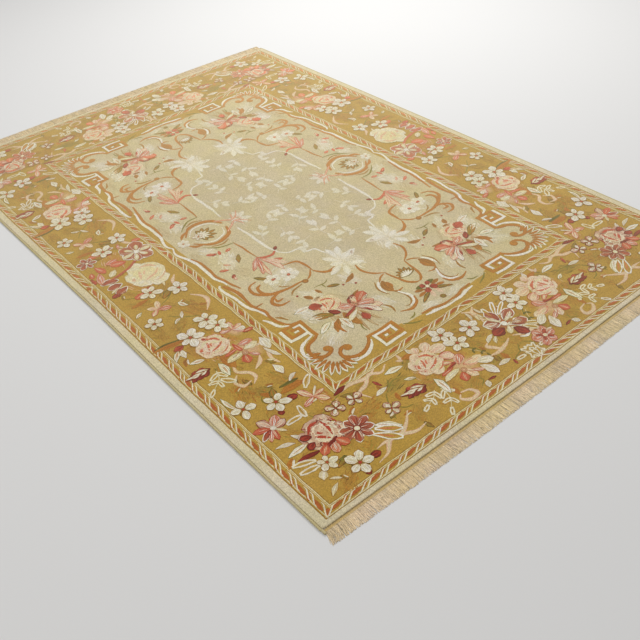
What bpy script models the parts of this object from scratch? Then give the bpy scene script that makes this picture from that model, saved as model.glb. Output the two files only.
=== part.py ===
"""Silk rug: a knotted pile carpet with overcast sides and a fringe at each end.

The rug lies flat on the floor. The origin is on the floor under the rug's
centre, +X runs along its length, +Y across it and +Z up. Sizes are in metres.
"""

import math

import bpy

RUG_NAME = "silk_rug"

# How thick each piece is where it lies on the floor
PILE_THICKNESS = 0.007
SELVEDGE_THICKNESS = 0.006
END_WEAVE_THICKNESS = 0.0024

# How wide the finished edges are, seen from above
SELVEDGE_WIDTH = 0.008
END_WEAVE_WIDTH = 0.015
SEAM_GAP = 0.0003

# Softly rounded edges
PILE_ROUNDING = 0.0018
SELVEDGE_ROUNDING = 0.0024
ROUNDING_STEPS = 2

# The fringe: bundles of warp threads, evenly spaced along each end
STRANDS_PER_END = 144
ROOT_SPACE = 0.0010
TIP_SPACE = 0.0026
LENGTH_VARIATION = 0.0016
LEAN_VARIATION = 0.0007
CORNER_SPLAY = 0.009

# Corners of the pile. The left end is cut a little short at its near corner.
NEAR_LEFT = (-1.405, -0.966)
NEAR_RIGHT = (1.434, -0.957)
FAR_RIGHT = (1.432, 0.960)
FAR_LEFT = (-1.432, 0.966)

# How the pile's long edges wander between the corners: columns x, y
NEAR_SIDE = [
    (-1.080, -0.9660),
    (-0.720, -0.9667),
    (-0.220, -0.9610),
    (0.130, -0.9580),
    (0.730, -0.9620),
    (1.200, -0.9600),
]
FAR_SIDE = [
    (1.120, 0.9580),
    (0.720, 0.9625),
    (0.100, 0.9650),
    (-0.500, 0.9667),
    (-1.040, 0.9650),
]

# How the pile's short edges wander between the corners: columns x, y
RIGHT_END = [
    (1.4355, -0.720),
    (1.4370, -0.350),
    (1.4365, 0.050),
    (1.4320, 0.300),
    (1.4305, 0.620),
]
LEFT_END = [
    (-1.4310, 0.690),
    (-1.4270, 0.300),
    (-1.4190, -0.080),
    (-1.4110, -0.440),
    (-1.4060, -0.760),
]

# Where the fringe tips end: columns y, x of the tip
RIGHT_TIPS = [
    (-0.980, 1.491),
    (-0.750, 1.496),
    (-0.400, 1.5005),
    (0.050, 1.500),
    (0.380, 1.494),
    (0.980, 1.496),
]
LEFT_TIPS = [
    (-0.980, -1.474),
    (-0.660, -1.479),
    (-0.370, -1.488),
    (0.200, -1.496),
    (0.740, -1.5005),
    (0.980, -1.497),
]

# Colours as the eye sees them, 0 to 255, and how rough each yarn looks
GOLD_SILK = ((184, 155, 82), 0.62)
PALE_YELLOW_SILK = ((214, 200, 130), 0.55)
TAN_WARP = ((208, 182, 145), 0.70)


def clear_scene():
    """Remove whatever the scene holds."""
    for thing in list(bpy.data.objects):
        bpy.data.objects.remove(thing, do_unlink=True)


def linear(channel):
    """Turn one 0-255 display value into Blender's linear value."""
    value = channel / 255
    if value <= 0.04045:
        return value / 12.92
    return ((value + 0.055) / 1.055) ** 2.4


def yarn_material(name, yarn):
    """A plain material of one yarn's colour and roughness."""
    colour, roughness = yarn
    material = bpy.data.materials.new(name)
    material.use_nodes = True
    shader = material.node_tree.nodes["Principled BSDF"]
    shader.inputs["Base Color"].default_value = (*[linear(c) for c in colour], 1)
    shader.inputs["Roughness"].default_value = roughness
    shader.inputs["Metallic"].default_value = 0
    return material


def between(rows, at):
    """Read a two-column table at a place, on a straight line between its rows."""
    for (low, low_value), (high, high_value) in zip(rows, rows[1:]):
        if at <= high:
            break
    share = (at - low) / (high - low)
    return low_value + share * (high_value - low_value)


def flat_piece(name, outline, thickness, collection, parent, material):
    """Make a flat piece of cloth from its outline, resting on the floor."""
    curve = bpy.data.curves.new(name, "CURVE")
    curve.dimensions = "2D"
    curve.fill_mode = "BOTH"
    curve.extrude = thickness / 2
    spline = curve.splines.new("POLY")
    spline.points.add(len(outline) - 1)
    for point, (x, y) in zip(spline.points, outline):
        point.co = (x, y, 0, 1)
    spline.use_cyclic_u = True
    piece = bpy.data.objects.new(name, curve)
    piece.location = (0, 0, thickness / 2)
    piece.parent = parent
    curve.materials.append(material)
    collection.objects.link(piece)
    return piece


def round_edges(piece, width):
    """Weld the caps to the sides and round the edges."""
    weld = piece.modifiers.new("Weld", "WELD")
    weld.merge_threshold = 0.00001
    bevel = piece.modifiers.new("Rounded edges", "BEVEL")
    bevel.width = width
    bevel.segments = ROUNDING_STEPS
    bevel.limit_method = "ANGLE"
    bevel.angle_limit = math.radians(40)


def pile_outline():
    """The pile's outline, anticlockwise from its near left corner."""
    near = [NEAR_LEFT, *NEAR_SIDE]
    right = [NEAR_RIGHT, *RIGHT_END]
    far = [FAR_RIGHT, *FAR_SIDE]
    left = [FAR_LEFT, *LEFT_END]
    return near + right + far + left


def selvedge_outline(edge, outward):
    """A narrow strip beside one long edge, running on past the end weave.

    edge lists the pile's corners and edge points from left to right, and
    outward is -1 on the near side and 1 on the far side.
    """
    reach = SEAM_GAP + END_WEAVE_WIDTH
    (left_x, left_y), (right_x, right_y) = edge[0], edge[-1]
    line = [(left_x - reach, left_y), *edge, (right_x + reach, right_y)]
    inner = [(x, y + outward * SEAM_GAP) for x, y in line]
    outer = [(x, y + outward * (SEAM_GAP + SELVEDGE_WIDTH)) for x, y in line]
    ring = inner + outer[::-1]
    return ring[::-1] if outward < 0 else ring


def strand(number, root_y, half_width, root_x, tips, outward):
    """One strand's four corners, in order of rising y."""
    half_rug = (FAR_RIGHT[1] - NEAR_RIGHT[1]) / 2
    ripple = math.sin(2.4 * number) + 1.1 * math.sin(0.63 * number + 1)
    lean = LEAN_VARIATION * ripple + CORNER_SPLAY * (root_y / half_rug) ** 9
    trim = LENGTH_VARIATION * (1 + math.sin(1.7 * number) * math.cos(0.31 * number)) / 2
    tip_x = between(tips, root_y) - outward * trim
    tip_half = half_width - (TIP_SPACE - ROOT_SPACE) / 2
    return [
        (root_x, root_y - half_width),
        (tip_x, root_y + lean - tip_half),
        (tip_x, root_y + lean + tip_half),
        (root_x, root_y + half_width),
    ]


def end_weave_outline(edge, tips, outward):
    """The flat-woven strip beside one short edge, with its strands.

    edge lists the pile's corners and edge points from near to far, and
    outward is 1 at the right end and -1 at the left end.
    """
    near_y, far_y = edge[0][1], edge[-1][1]
    by_width = [(y, x) for x, y in edge]
    inner = [(x + outward * SEAM_GAP, y) for x, y in edge]
    pitch = (far_y - near_y) / STRANDS_PER_END
    half_width = (pitch - ROOT_SPACE) / 2
    fringe = []
    for number in range(STRANDS_PER_END):
        root_y = near_y + (number + 0.5) * pitch
        root_x = between(by_width, root_y) + outward * (SEAM_GAP + END_WEAVE_WIDTH)
        fringe += strand(number, root_y, half_width, root_x, tips, outward)
    ring = fringe + inner[::-1]
    return ring if outward > 0 else ring[::-1]


def build_rug():
    """Make the five pieces of the rug under one empty."""
    rug = bpy.data.objects.new(RUG_NAME, None)
    pieces = bpy.data.collections.new(RUG_NAME)
    bpy.context.scene.collection.children.link(pieces)
    pieces.objects.link(rug)
    gold = yarn_material("gold_silk_pile", GOLD_SILK)
    yellow = yarn_material("pale_yellow_overcasting", PALE_YELLOW_SILK)
    tan = yarn_material("tan_silk_warp", TAN_WARP)

    pile = flat_piece("pile_carpet", pile_outline(), PILE_THICKNESS, pieces, rug, gold)
    round_edges(pile, PILE_ROUNDING)

    near_edge = [NEAR_LEFT, *NEAR_SIDE, NEAR_RIGHT]
    far_edge = [FAR_LEFT, *FAR_SIDE[::-1], FAR_RIGHT]
    for name, edge, outward in (
        ("selvedge_near", near_edge, -1),
        ("selvedge_far", far_edge, 1),
    ):
        outline = selvedge_outline(edge, outward)
        cord = flat_piece(name, outline, SELVEDGE_THICKNESS, pieces, rug, yellow)
        round_edges(cord, SELVEDGE_ROUNDING)

    right_edge = [NEAR_RIGHT, *RIGHT_END, FAR_RIGHT]
    left_edge = [NEAR_LEFT, *LEFT_END[::-1], FAR_LEFT]
    for name, edge, tips, outward in (
        ("end_weave_right", right_edge, RIGHT_TIPS, 1),
        ("end_weave_left", left_edge, LEFT_TIPS, -1),
    ):
        outline = end_weave_outline(edge, tips, outward)
        flat_piece(name, outline, END_WEAVE_THICKNESS, pieces, rug, tan)


clear_scene()
build_rug()
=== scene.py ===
# %% Open the frame
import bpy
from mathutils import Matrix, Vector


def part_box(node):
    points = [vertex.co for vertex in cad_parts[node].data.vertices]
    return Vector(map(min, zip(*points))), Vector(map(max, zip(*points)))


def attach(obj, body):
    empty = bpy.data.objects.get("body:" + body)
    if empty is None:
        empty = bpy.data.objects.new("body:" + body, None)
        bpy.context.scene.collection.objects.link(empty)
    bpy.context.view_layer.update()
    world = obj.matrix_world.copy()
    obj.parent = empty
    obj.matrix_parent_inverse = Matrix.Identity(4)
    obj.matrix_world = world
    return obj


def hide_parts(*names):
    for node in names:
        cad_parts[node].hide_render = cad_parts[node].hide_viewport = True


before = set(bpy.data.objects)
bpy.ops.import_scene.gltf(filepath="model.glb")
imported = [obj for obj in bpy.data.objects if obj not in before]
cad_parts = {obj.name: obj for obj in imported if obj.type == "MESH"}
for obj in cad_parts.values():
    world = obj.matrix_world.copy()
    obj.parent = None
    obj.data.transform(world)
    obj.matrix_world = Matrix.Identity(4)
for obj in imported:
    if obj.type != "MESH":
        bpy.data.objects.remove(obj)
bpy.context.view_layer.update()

# %% [markdown]
# This lesson dresses a flat silk rug. The solids in the frame give its true outline: a slab of
# pile, an overcast edge along each long side, and a woven strip with a fringe at each short end.
# A rug could be textured with a picture, but here every motif is real geometry: thin flat
# patches of coloured knots that lie on the pile, drawn by a few functions from short tables.

# %% Tools for the whole lesson
import math

import bpy
import numpy as np
from mathutils import Matrix, Vector

rng = np.random.default_rng(7)


def yarn(red, green, blue):
    """A dyed yarn's colour, as the eye sees it in 0-255, turned into Blender's linear values."""
    seen = np.array([red, green, blue], float) / 255
    return np.where(seen <= 0.04045, seen / 12.92, ((seen + 0.055) / 1.055) ** 2.4)


MILLIMETRES = 1000


def metres(*sizes):
    """Sizes written in millimetres, turned into Blender's metres."""
    return [size / MILLIMETRES for size in sizes]


def path(*places):
    """Points from x and y in turn, written in millimetres."""
    return np.array(places).reshape(-1, 2) / MILLIMETRES


print("a gold yarn in linear light:", yarn(187, 148, 61).round(3))

# %% [markdown]
# The camera stands where the photographer stood: to the right of the rug's near long side, at
# eye height, looking down about forty degrees, with the frame tipped a few degrees. The lens
# comes from the picture's own perspective.

# %% Camera
PHOTO_WIDTH = 640
FOCAL_PIXELS = 800.8
EYE = Vector((2.483, -1.702, 1.793))
HEADING, DOWNWARD, TIP = (math.radians(angle) for angle in (53.03, 39.65, -4.404))


def camera_axes():
    """The camera's right, up and backward directions in the rug's frame."""
    back = Vector((
        math.sin(HEADING) * math.cos(DOWNWARD),
        -math.cos(HEADING) * math.cos(DOWNWARD),
        math.sin(DOWNWARD),
    ))
    level_right = (-back).cross(Vector((0, 0, 1))).normalized()
    level_up = level_right.cross(-back)
    right = level_right * math.cos(TIP) + level_up * math.sin(TIP)
    up = level_up * math.cos(TIP) - level_right * math.sin(TIP)
    return right, up, back


camera = bpy.data.objects.new("camera", bpy.data.cameras.new("camera"))
bpy.context.scene.collection.objects.link(camera)
camera.data.sensor_width = 36
camera.data.lens = camera.data.sensor_width * FOCAL_PIXELS / PHOTO_WIDTH
turned = Matrix(camera_axes()).transposed().to_4x4()
camera.matrix_world = Matrix.Translation(EYE) @ turned
bpy.context.scene.camera = camera
print("lens", round(camera.data.lens, 2), "mm, eye height", EYE.z, "m")

# %% [markdown]
# A plain pale floor and soft studio light. One broad lamp hangs over the far side, so that its
# light skims the silk towards the camera, and a second fills in from the near side.

# %% Floor and light
FLOOR_REACH = 14
floor_mesh = bpy.data.meshes.new("floor")
floor_mesh.from_pydata(
    [(x * FLOOR_REACH, y * FLOOR_REACH, 0) for x, y in ((-1, -1), (1, -1), (1, 1), (-1, 1))],
    [],
    [(0, 1, 2, 3)],
)
floor = bpy.data.objects.new("floor", floor_mesh)
bpy.context.scene.collection.objects.link(floor)
floor_paint = bpy.data.materials.new("pale_floor")
floor_paint.use_nodes = True
floor_shader = floor_paint.node_tree.nodes["Principled BSDF"]
floor_shader.inputs["Base Color"].default_value = (*yarn(222, 221, 218), 1)
floor_shader.inputs["Roughness"].default_value = 0.8
floor_mesh.materials.append(floor_paint)


def soft_lamp(name, place, target, size, watts):
    """A square area lamp at place that faces target."""
    lamp = bpy.data.objects.new(name, bpy.data.lights.new(name, "AREA"))
    lamp.data.shape = "SQUARE"
    lamp.data.size = size
    lamp.data.energy = watts
    lamp.location = place
    lamp.rotation_euler = (Vector(target) - Vector(place)).to_track_quat("-Z", "Y").to_euler()
    bpy.context.scene.collection.objects.link(lamp)


soft_lamp("far_lamp", (-1.9, 2.3, 3.3), (-0.1, 0, 0), 2.4, 118)
soft_lamp("near_lamp", (1.2, -2.6, 3.8), (0, -0.2, 0), 3.0, 26)
room = bpy.data.worlds.new("room")
bpy.context.scene.world = room
room.use_nodes = True
room.node_tree.nodes["Background"].inputs["Color"].default_value = (*yarn(238, 238, 240), 1)
room.node_tree.nodes["Background"].inputs["Strength"].default_value = 0.62
bpy.context.scene.view_settings.view_transform = "Standard"
print("floor", 2 * FLOOR_REACH, "m across, under two soft lamps")

# %% [markdown]
# A hand-knotted rug is never a true rectangle. The design is drawn on an exact one, as on a
# weaver's paper, and `lay` then stretches it onto the real outline, which is read from the
# solid. A slow ripple of a millimetre or two stands for the weaver's uneven beating.

# %% The rug's outline and the weaver's paper
pile_low, pile_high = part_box("pile_carpet")
PILE_TOP = pile_high.z
MIDDLE_BAND = 0.26
RIPPLE = 0.0016
RIPPLE_FADE = 16
SWELL = 0.00022
pile_corners = np.array([v.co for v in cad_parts["pile_carpet"].data.vertices])
middle_height = np.abs(pile_corners[:, 2] - PILE_TOP / 2) < PILE_TOP * MIDDLE_BAND
rim = pile_corners[middle_height][:, :2]


def edge_of(side):
    """One edge of the rim as a table of place along it and place across it, in rising order.

    side is the axis across the edge, which end of the axis, and how far out the edge lies.
    """
    axis, sign, beyond = side
    row = rim[sign * rim[:, axis] > beyond]
    row = row[np.argsort(row[:, 1 - axis])]
    return row[:, 1 - axis], row[:, axis]


right_edge = edge_of((0, 1, 1.42))
left_edge = edge_of((0, -1, 1.40))
near_edge = edge_of((1, -1, 0.95))
far_edge = edge_of((1, 1, 0.95))
HALF_LONG = (right_edge[1].mean() - left_edge[1].mean()) / 2
HALF_WIDE = (far_edge[1].mean() - near_edge[1].mean()) / 2


def lay(paper):
    """Places on the weaver's paper (N x 2), moved to their places on the real rug."""
    u, v = paper[:, 0], paper[:, 1]
    along = (u / HALF_LONG + 1) / 2
    across = (v / HALF_WIDE + 1) / 2
    x = (1 - along) * np.interp(v, *left_edge) + along * np.interp(v, *right_edge)
    y = (1 - across) * np.interp(u, *near_edge) + across * np.interp(u, *far_edge)
    inside = (1 - (u / HALF_LONG) ** RIPPLE_FADE) * (1 - (v / HALF_WIDE) ** RIPPLE_FADE)
    inside = np.clip(inside, 0, 1)
    x = x + RIPPLE * inside * (np.sin(31 * v + 5 * u) + 0.6 * np.sin(83 * v - 47 * u))
    y = y + RIPPLE * inside * (np.sin(23 * u + 7 * v + 1) + 0.6 * np.sin(71 * u + 53 * v))
    return np.stack([x, y], 1)


def swell(x, y):
    """The pile's slow rise and fall over the floor, under half a millimetre."""
    return SWELL * (np.sin(6.1 * x + 1.3 * y) + np.sin(7.7 * y - 2.1 * x + 1) - 0.6)


print("paper half sizes", round(HALF_LONG, 4), round(HALF_WIDE, 4), "pile top", PILE_TOP)

# %% [markdown]
# Every patch of colour is a small grid of points with a yarn colour on each point. A `Cartoon`
# collects the patches of one layer of the design. The rug's design repeats in its four
# quarters, so each patch is drawn once and copied by mirroring, with its faces turned back
# over where a mirror would leave them upside down.

# %% Patches of knots
FOUR = ((1, 1), (-1, 1), (1, -1), (-1, -1))
HALF_TURN = ((1, 1), (-1, -1))
BOTH_ENDS = ((1, 1), (-1, 1))
BOTH_SIDES = ((1, 1), (1, -1))
LEVEL = 0.00015
STEP = 0.000001
STEPS_IN_LEVEL = 44
RAGGED = 0.14


class Cartoon:
    """One layer of the design: flat patches that end up as one mesh.

    base lifts the whole layer over the ones under it, in levels.
    """

    def __init__(self, name, base=0.0):
        self.name = name
        self.base = base
        self.points, self.heights, self.colours, self.faces = [], [], [], []
        self.total = 0
        self.drawn = 0

    def grid(self, points, colours, level, copies):
        """Add a patch: points is rows x columns x 2, colours rows x columns x 3.

        Patches that overlap must not lie at one height, so each copy gets its own fine step.
        """
        rows, columns = points.shape[:2]
        corner = np.arange(rows * columns).reshape(rows, columns)
        faces = np.stack(
            [corner[:-1, :-1], corner[1:, :-1], corner[1:, 1:], corner[:-1, 1:]], -1
        ).reshape(-1, 4)
        flat = points.reshape(-1, 2)
        for copy, (flip_x, flip_y) in enumerate(copies):
            step = (self.drawn * len(FOUR) + copy) % STEPS_IN_LEVEL
            self.points.append(flat * (flip_x, flip_y))
            self.heights.append(np.full(len(flat), (self.base + level) * LEVEL + step * STEP))
            self.colours.append(colours.reshape(-1, 3))
            turned_faces = faces if flip_x * flip_y > 0 else faces[:, ::-1]
            self.faces.append(turned_faces + self.total)
            self.total += len(flat)
        self.drawn += 1


print("a patch repeats at most", len(FOUR), "times, in", STEPS_IN_LEVEL, "fine steps a level")

# %% [markdown]
# Nearly everything in the design is a line with a width: a stem, a scroll, an outline, the edge
# of a key. One function sweeps a line into a flat strip, and two more feed it: `stroke` for
# drawn curves that thin out at their ends, and `bars` for square corners.

# %% Lines with a width


def smooth_line(knots, per_span=8):
    """A smooth curve through a few points, by Catmull-Rom."""
    knots = np.asarray(knots, float)
    padded = np.vstack([2 * knots[0] - knots[1], knots, 2 * knots[-1] - knots[-2]])
    t = np.linspace(0, 1, per_span, endpoint=False)[:, None]
    spans = []
    for a, b, c, d in zip(padded, padded[1:], padded[2:], padded[3:]):
        spans.append(0.5 * (2 * b + (c - a) * t + (2 * a - 5 * b + 4 * c - d) * t**2
                            + (3 * b - a - 3 * c + d) * t**3))
    return np.vstack([*spans, knots[-1:]])


def sideways(line):
    """The unit direction to the left of a line, at each of its points."""
    run = np.gradient(line, axis=0)
    run /= np.maximum(np.linalg.norm(run, axis=1, keepdims=True), 1e-9)
    return np.stack([-run[:, 1], run[:, 0]], 1)


def strip(cartoon, line, half_width, columns, level, copies=FOUR, rough=0.0):
    """A flat strip along a line. columns holds one colour for each point across.

    rough makes its width uneven from point to point, as stepped knots do.
    """
    line = np.asarray(line, float)
    half_width = half_width * (1 + rough * rng.uniform(-1, 1, len(line)))
    columns = np.asarray(columns)
    if columns.ndim == 2:
        columns = np.broadcast_to(columns, (len(line), *columns.shape))
    across = np.linspace(-1, 1, columns.shape[1])
    offset = (half_width[:, None] * across)[..., None] * sideways(line)[:, None]
    cartoon.grid(line[:, None] + offset, columns, level, copies)


def stroke(cartoon, knots, width, colour, level, taper=(1, 1), edge=None, copies=FOUR):
    """A drawn line with a round sweep, thinner towards its tapered ends."""
    line = smooth_line(knots)
    t = np.linspace(0, 1, len(line))
    start, end = taper
    shape = np.minimum(start + (1 - start) * np.minimum(t * 3, 1),
                       end + (1 - end) * np.minimum((1 - t) * 3, 1))
    edge = colour if edge is None else edge
    strip(cartoon, line, shape * width / 2, [edge, colour, edge], level, copies, RAGGED)


def bars(cartoon, corners, width, colour, level, copies=FOUR):
    """A square-cornered line, as one straight bar after another."""
    half = width / 2
    corners = np.asarray(corners, float)
    for start, end in zip(corners, corners[1:]):
        run = (end - start) / np.linalg.norm(end - start)
        line = np.linspace(start - run * half, end + run * half, 6)
        strip(cartoon, line, half, [colour, colour], level, copies, RAGGED * 0.6)


print("lines ready: levels are", LEVEL * MILLIMETRES, "mm apart")

# %% [markdown]
# A dyer prepares the yarns before the weaver starts, so they come first here too. Each petal or
# leaf is knotted from a few of them: one at its base, one at its tip, one along the edge, one
# down the middle, and one for the line drawn round it. Such a choice is called a look here.

# %% Yarns and looks
GOLD = yarn(187, 148, 61)
DEEP_GOLD = yarn(158, 116, 38)
BEIGE = yarn(207, 191, 148)
MEDALLION = yarn(201, 185, 146)
IVORY = yarn(219, 205, 168)
DAMASK = yarn(222, 212, 184)
CREAM = yarn(224, 209, 160)
WHITE = yarn(234, 227, 207)
SHADE_WHITE = yarn(212, 197, 158)
TERRACOTTA = yarn(186, 122, 42)
RUST = yarn(172, 104, 36)
BRICK = yarn(182, 98, 42)
BROWN = yarn(146, 96, 36)
SOFT_BROWN = yarn(166, 118, 48)
OLIVE = yarn(136, 124, 46)
DARK_OLIVE = yarn(88, 80, 28)
PALE_PINK = yarn(233, 215, 182)
PINK = yarn(222, 180, 144)
CORAL = yarn(204, 108, 72)
RED = yarn(178, 66, 40)
MAUVE = yarn(172, 98, 66)
BURGUNDY = yarn(116, 32, 20)

FIGURE = WHITE * 0.7 + MEDALLION * 0.3
BAR_WHITE = WHITE * 0.5 + CREAM * 0.5

# name: yarns at the base, tip, edge and middle, and of the drawn outline
LOOKS = {
    "white": (SHADE_WHITE, WHITE, WHITE, SHADE_WHITE, SOFT_BROWN),
    "ivory": (SHADE_WHITE, CREAM, CREAM, WHITE, SOFT_BROWN),
    "veined": (WHITE, WHITE, CREAM, TERRACOTTA, OLIVE),
    "gilt": (GOLD, GOLD, GOLD, SOFT_BROWN, BAR_WHITE),
    "quill": (GOLD, GOLD, GOLD, CORAL, WHITE),
    "inked": (MAUVE, WHITE, WHITE, PALE_PINK, MAUVE),
    "plume": (SOFT_BROWN, BEIGE, SOFT_BROWN, BEIGE, SOFT_BROWN),
    "pale": ((PINK + CORAL) / 2, PALE_PINK, CREAM, PINK, PINK),
    "blush": (CORAL, PALE_PINK, PINK, CREAM, RED),
    "cream_rose": (CREAM, CREAM, WHITE, PALE_PINK, SHADE_WHITE),
    "coral": (RED, CORAL, CORAL, PINK, RED),
    "coral_white": (RED, CORAL, PALE_PINK, WHITE, RED),
    "mauve": (BURGUNDY, MAUVE, MAUVE, RED, WHITE),
    "mauve_pale": (MAUVE, PALE_PINK, MAUVE, PINK, BURGUNDY),
    "burgundy": (BURGUNDY, RED, BURGUNDY, BURGUNDY, BURGUNDY * 0.6),
    "red": (BURGUNDY, RED, CORAL, RED, BURGUNDY),
    "terracotta": (RUST, TERRACOTTA, TERRACOTTA, RUST, RUST),
    "brick": (BRICK, BRICK, BRICK, RUST, RUST),
    "brown": (BROWN, TERRACOTTA, SOFT_BROWN, BROWN, RUST),
    "olive": (DARK_OLIVE, OLIVE, OLIVE, DARK_OLIVE, DARK_OLIVE),
    "olive_white": (CREAM, WHITE, WHITE, TERRACOTTA, OLIVE),
    "olive_brown": (OLIVE, TERRACOTTA, BROWN, OLIVE, DARK_OLIVE),
    "damask": (DAMASK, FIGURE, DAMASK, FIGURE, DAMASK * 0.95),
    "haze": (IVORY, WHITE, WHITE, WHITE, IVORY),
    "milk": (IVORY, WHITE, WHITE * 0.8 + BEIGE * 0.2, WHITE, (IVORY + BEIGE) / 2),
}
print(len(LOOKS), "looks of blades")

# %% [markdown]
# Petals and leaves share one shape, the blade: it grows from a base, swells and comes to a
# tip, and may bend. It could be one flat colour, but a weaver shades a petal with single rows
# of other yarns, so a few loose strands lie over it. What changes from leaf to leaf is how
# full it is, and its look.

# %% Petals and leaves
# half the extra width of outlines that show more than most: a leaf of outline alone, with the
# ground inside it, has the widest, and a mauve petal a clear white one
BOLD = {"gilt": 0.0050, "quill": 0.0046, "mauve": 0.0022}
ROWS = 7
OUTLINE = 0.0013
STRAND = 0.0024
STRAND_SPACING = 0.0048


def blade(cartoon, x, y, length, width, turn, look, level, bend=0, full=0.6, late=1.25,
          copies=FOUR):
    """A petal or leaf that grows from (x, y) towards turn, in degrees.

    bend turns it as it grows, full under 1 makes it rounder, and late over 1 puts its
    widest place nearer the tip. An outline lies under it and loose strands over it.
    """
    t = np.linspace(0, 1, ROWS)
    heading = np.radians(turn + bend * (t - 0.5))
    step = np.stack([np.cos(heading), np.sin(heading)], 1) * length / (ROWS - 1)
    line = np.array([x, y]) + np.cumsum(np.vstack([np.zeros((1, 2)), step[:-1]]), 0)
    shape = np.maximum(np.sin(math.pi * t**late) ** full, 0.07) * width / 2
    base, tip, edge, middle, outline = LOOKS[look]
    grown = base + (tip - base) * (t**0.7)[:, None]

    bold = BOLD.get(look, OUTLINE)
    centre = line.mean(0)
    wider = centre + (line - centre) * (1 + 2 * bold / length)
    strip(cartoon, wider, shape + bold, [outline, outline], level, copies, RAGGED)
    columns = np.stack([grown * 0.3 + edge * 0.7, grown, grown * 0.3 + edge * 0.7], 1)
    strip(cartoon, line, shape, columns, level + 0.3, copies, RAGGED)

    strands = int(np.clip(round(width / STRAND_SPACING), 1, 6))
    left = sideways(line)
    for strand in range(strands):
        side = (strand + 0.5) / strands * 2 - 1
        start, end = rng.uniform(0.02, 0.30), rng.uniform(0.62, 1.0)
        at = np.linspace(start, end, 4)
        out = side * 0.86 * np.interp(at, t, shape)
        places = [np.interp(at, t, line[:, axis] + 0 * t) + out * np.interp(at, t, left[:, axis])
                  for axis in (0, 1)]
        central = abs(side) < 0.34
        colour = middle if central else (base, tip, outline * 0.5 + edge * 0.5)[strand % 3]
        thin = np.array([0.35, 1, 1, 0.25]) * min(STRAND, width * 0.3) / 2
        strip(cartoon, np.stack(places, 1), thin, [colour, colour], level + 0.6, copies, RAGGED)


print("blades ready:", ROWS, "rows of points in each")

# %% [markdown]
# Round a flower the ground isn't plain. The weaver works shade into it with a few strands of
# brown or white, so an oval stain that fades at its rim lies under loose short strands. A disc
# makes flower eyes and berries.

# %% Discs, stains and hatching


def disc(cartoon, x, y, radius, inner, outer, level, copies=FOUR, points=12):
    """A round spot, inner yarn at its middle and outer yarn at its rim."""
    angle = np.linspace(0, 2 * math.pi, points + 1)
    circle = np.stack([np.cos(angle), np.sin(angle)], 1)
    rings = np.array([0.02, 0.55, 1])[None, :, None] * radius
    places = np.array([x, y]) + circle[:, None] * rings
    colours = np.broadcast_to(np.array([inner, inner * 0.5 + outer * 0.5, outer]),
                              (points + 1, 3, 3))
    cartoon.grid(places[::-1], colours, level, copies)


# how the weaver blends shade into the ground: a few yarns laid side by side in short strands
SHADES = {
    "shadow": (SOFT_BROWN, DEEP_GOLD, OLIVE, TERRACOTTA),
    "brown": (BROWN, TERRACOTTA, TERRACOTTA, RUST),
    "terracotta": (TERRACOTTA, RUST, TERRACOTTA, BROWN),
    "olive": (OLIVE, DARK_OLIVE, OLIVE, SOFT_BROWN),
    "ember": (TERRACOTTA, CORAL, TERRACOTTA, PINK),
    "mist": (WHITE, WHITE, IVORY, WHITE),
    "fawn": (SOFT_BROWN, BROWN, IVORY, SOFT_BROWN),
}
STRANDS_PER_AREA = 7000


def blend(ground, colour, share):
    """A yarn between the ground's and another."""
    return ground * (1 - share) + colour * share


def stain(cartoon, x, y, length, width, turn, colour, ground, share, level=0.1, copies=FOUR):
    """An oval of shade that fades into the ground at its rim."""
    way = math.radians(turn)
    angle = np.linspace(0, 2 * math.pi, 15)
    reach = 1 + 0.18 * rng.uniform(-1, 1, len(angle))
    reach[-1] = reach[0]
    oval = np.stack([np.cos(angle) * reach * length / 2, np.sin(angle) * reach * width / 2], 1)
    turned = oval @ np.array([[math.cos(way), math.sin(way)], [-math.sin(way), math.cos(way)]])
    rings = np.array([0.03, 0.4, 0.7, 1.0])[None, :, None]
    places = np.array([x, y]) + turned[:, None] * rings
    fading = [blend(ground, colour, share * part) for part in (1, 0.85, 0.4, 0)]
    colours = np.broadcast_to(np.array(fading), (len(angle), 4, 3))
    cartoon.grid(places[::-1], colours, level, copies)


def hatching(cartoon, x, y, length, width, turn, shade, level=1, copies=FOUR, ground=GOLD,
             share=0.85):
    """A stain with loose short strands over it, all along one heading."""
    yarns = SHADES[shade]
    stain(cartoon, x, y, length, width, turn, (yarns[0] + yarns[1]) / 2, ground, share * 0.55,
          level * 0.2, copies)
    way = math.radians(turn)
    along = np.array([math.cos(way), math.sin(way)])
    side = np.array([-along[1], along[0]])
    for strand in range(max(4, round(length * width * STRANDS_PER_AREA))):
        far = rng.uniform(-0.45, 0.45)
        off = rng.uniform(-0.5, 0.5) * math.sqrt(1 - 4 * far**2)
        middle = np.array([x, y]) + along * far * length + side * off * width
        reach = rng.uniform(0.10, 0.22) * length + 0.004
        lean = along + side * rng.uniform(-0.25, 0.25)
        line = middle + np.array([[-1], [-0.2], [0.5], [1]]) * lean * reach / 2
        thin = np.array([0.3, 1, 1, 0.3]) * STRAND * rng.uniform(0.45, 0.9)
        colour = blend(ground, yarns[rng.integers(len(yarns))], share * rng.uniform(0.3, 1))
        strip(cartoon, line, thin, [colour, colour], level, copies)


print(len(SHADES), "shades of hatching")

# %% [markdown]
# The open flowers are rings of blades round an eye. A blossom has broad separate petals, a star
# has four small outlined ones, and a daisy a full ring of mauve petals with a white outline.
# A little chance in each petal's size and heading keeps them from looking stamped.

# %% Open flowers


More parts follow.
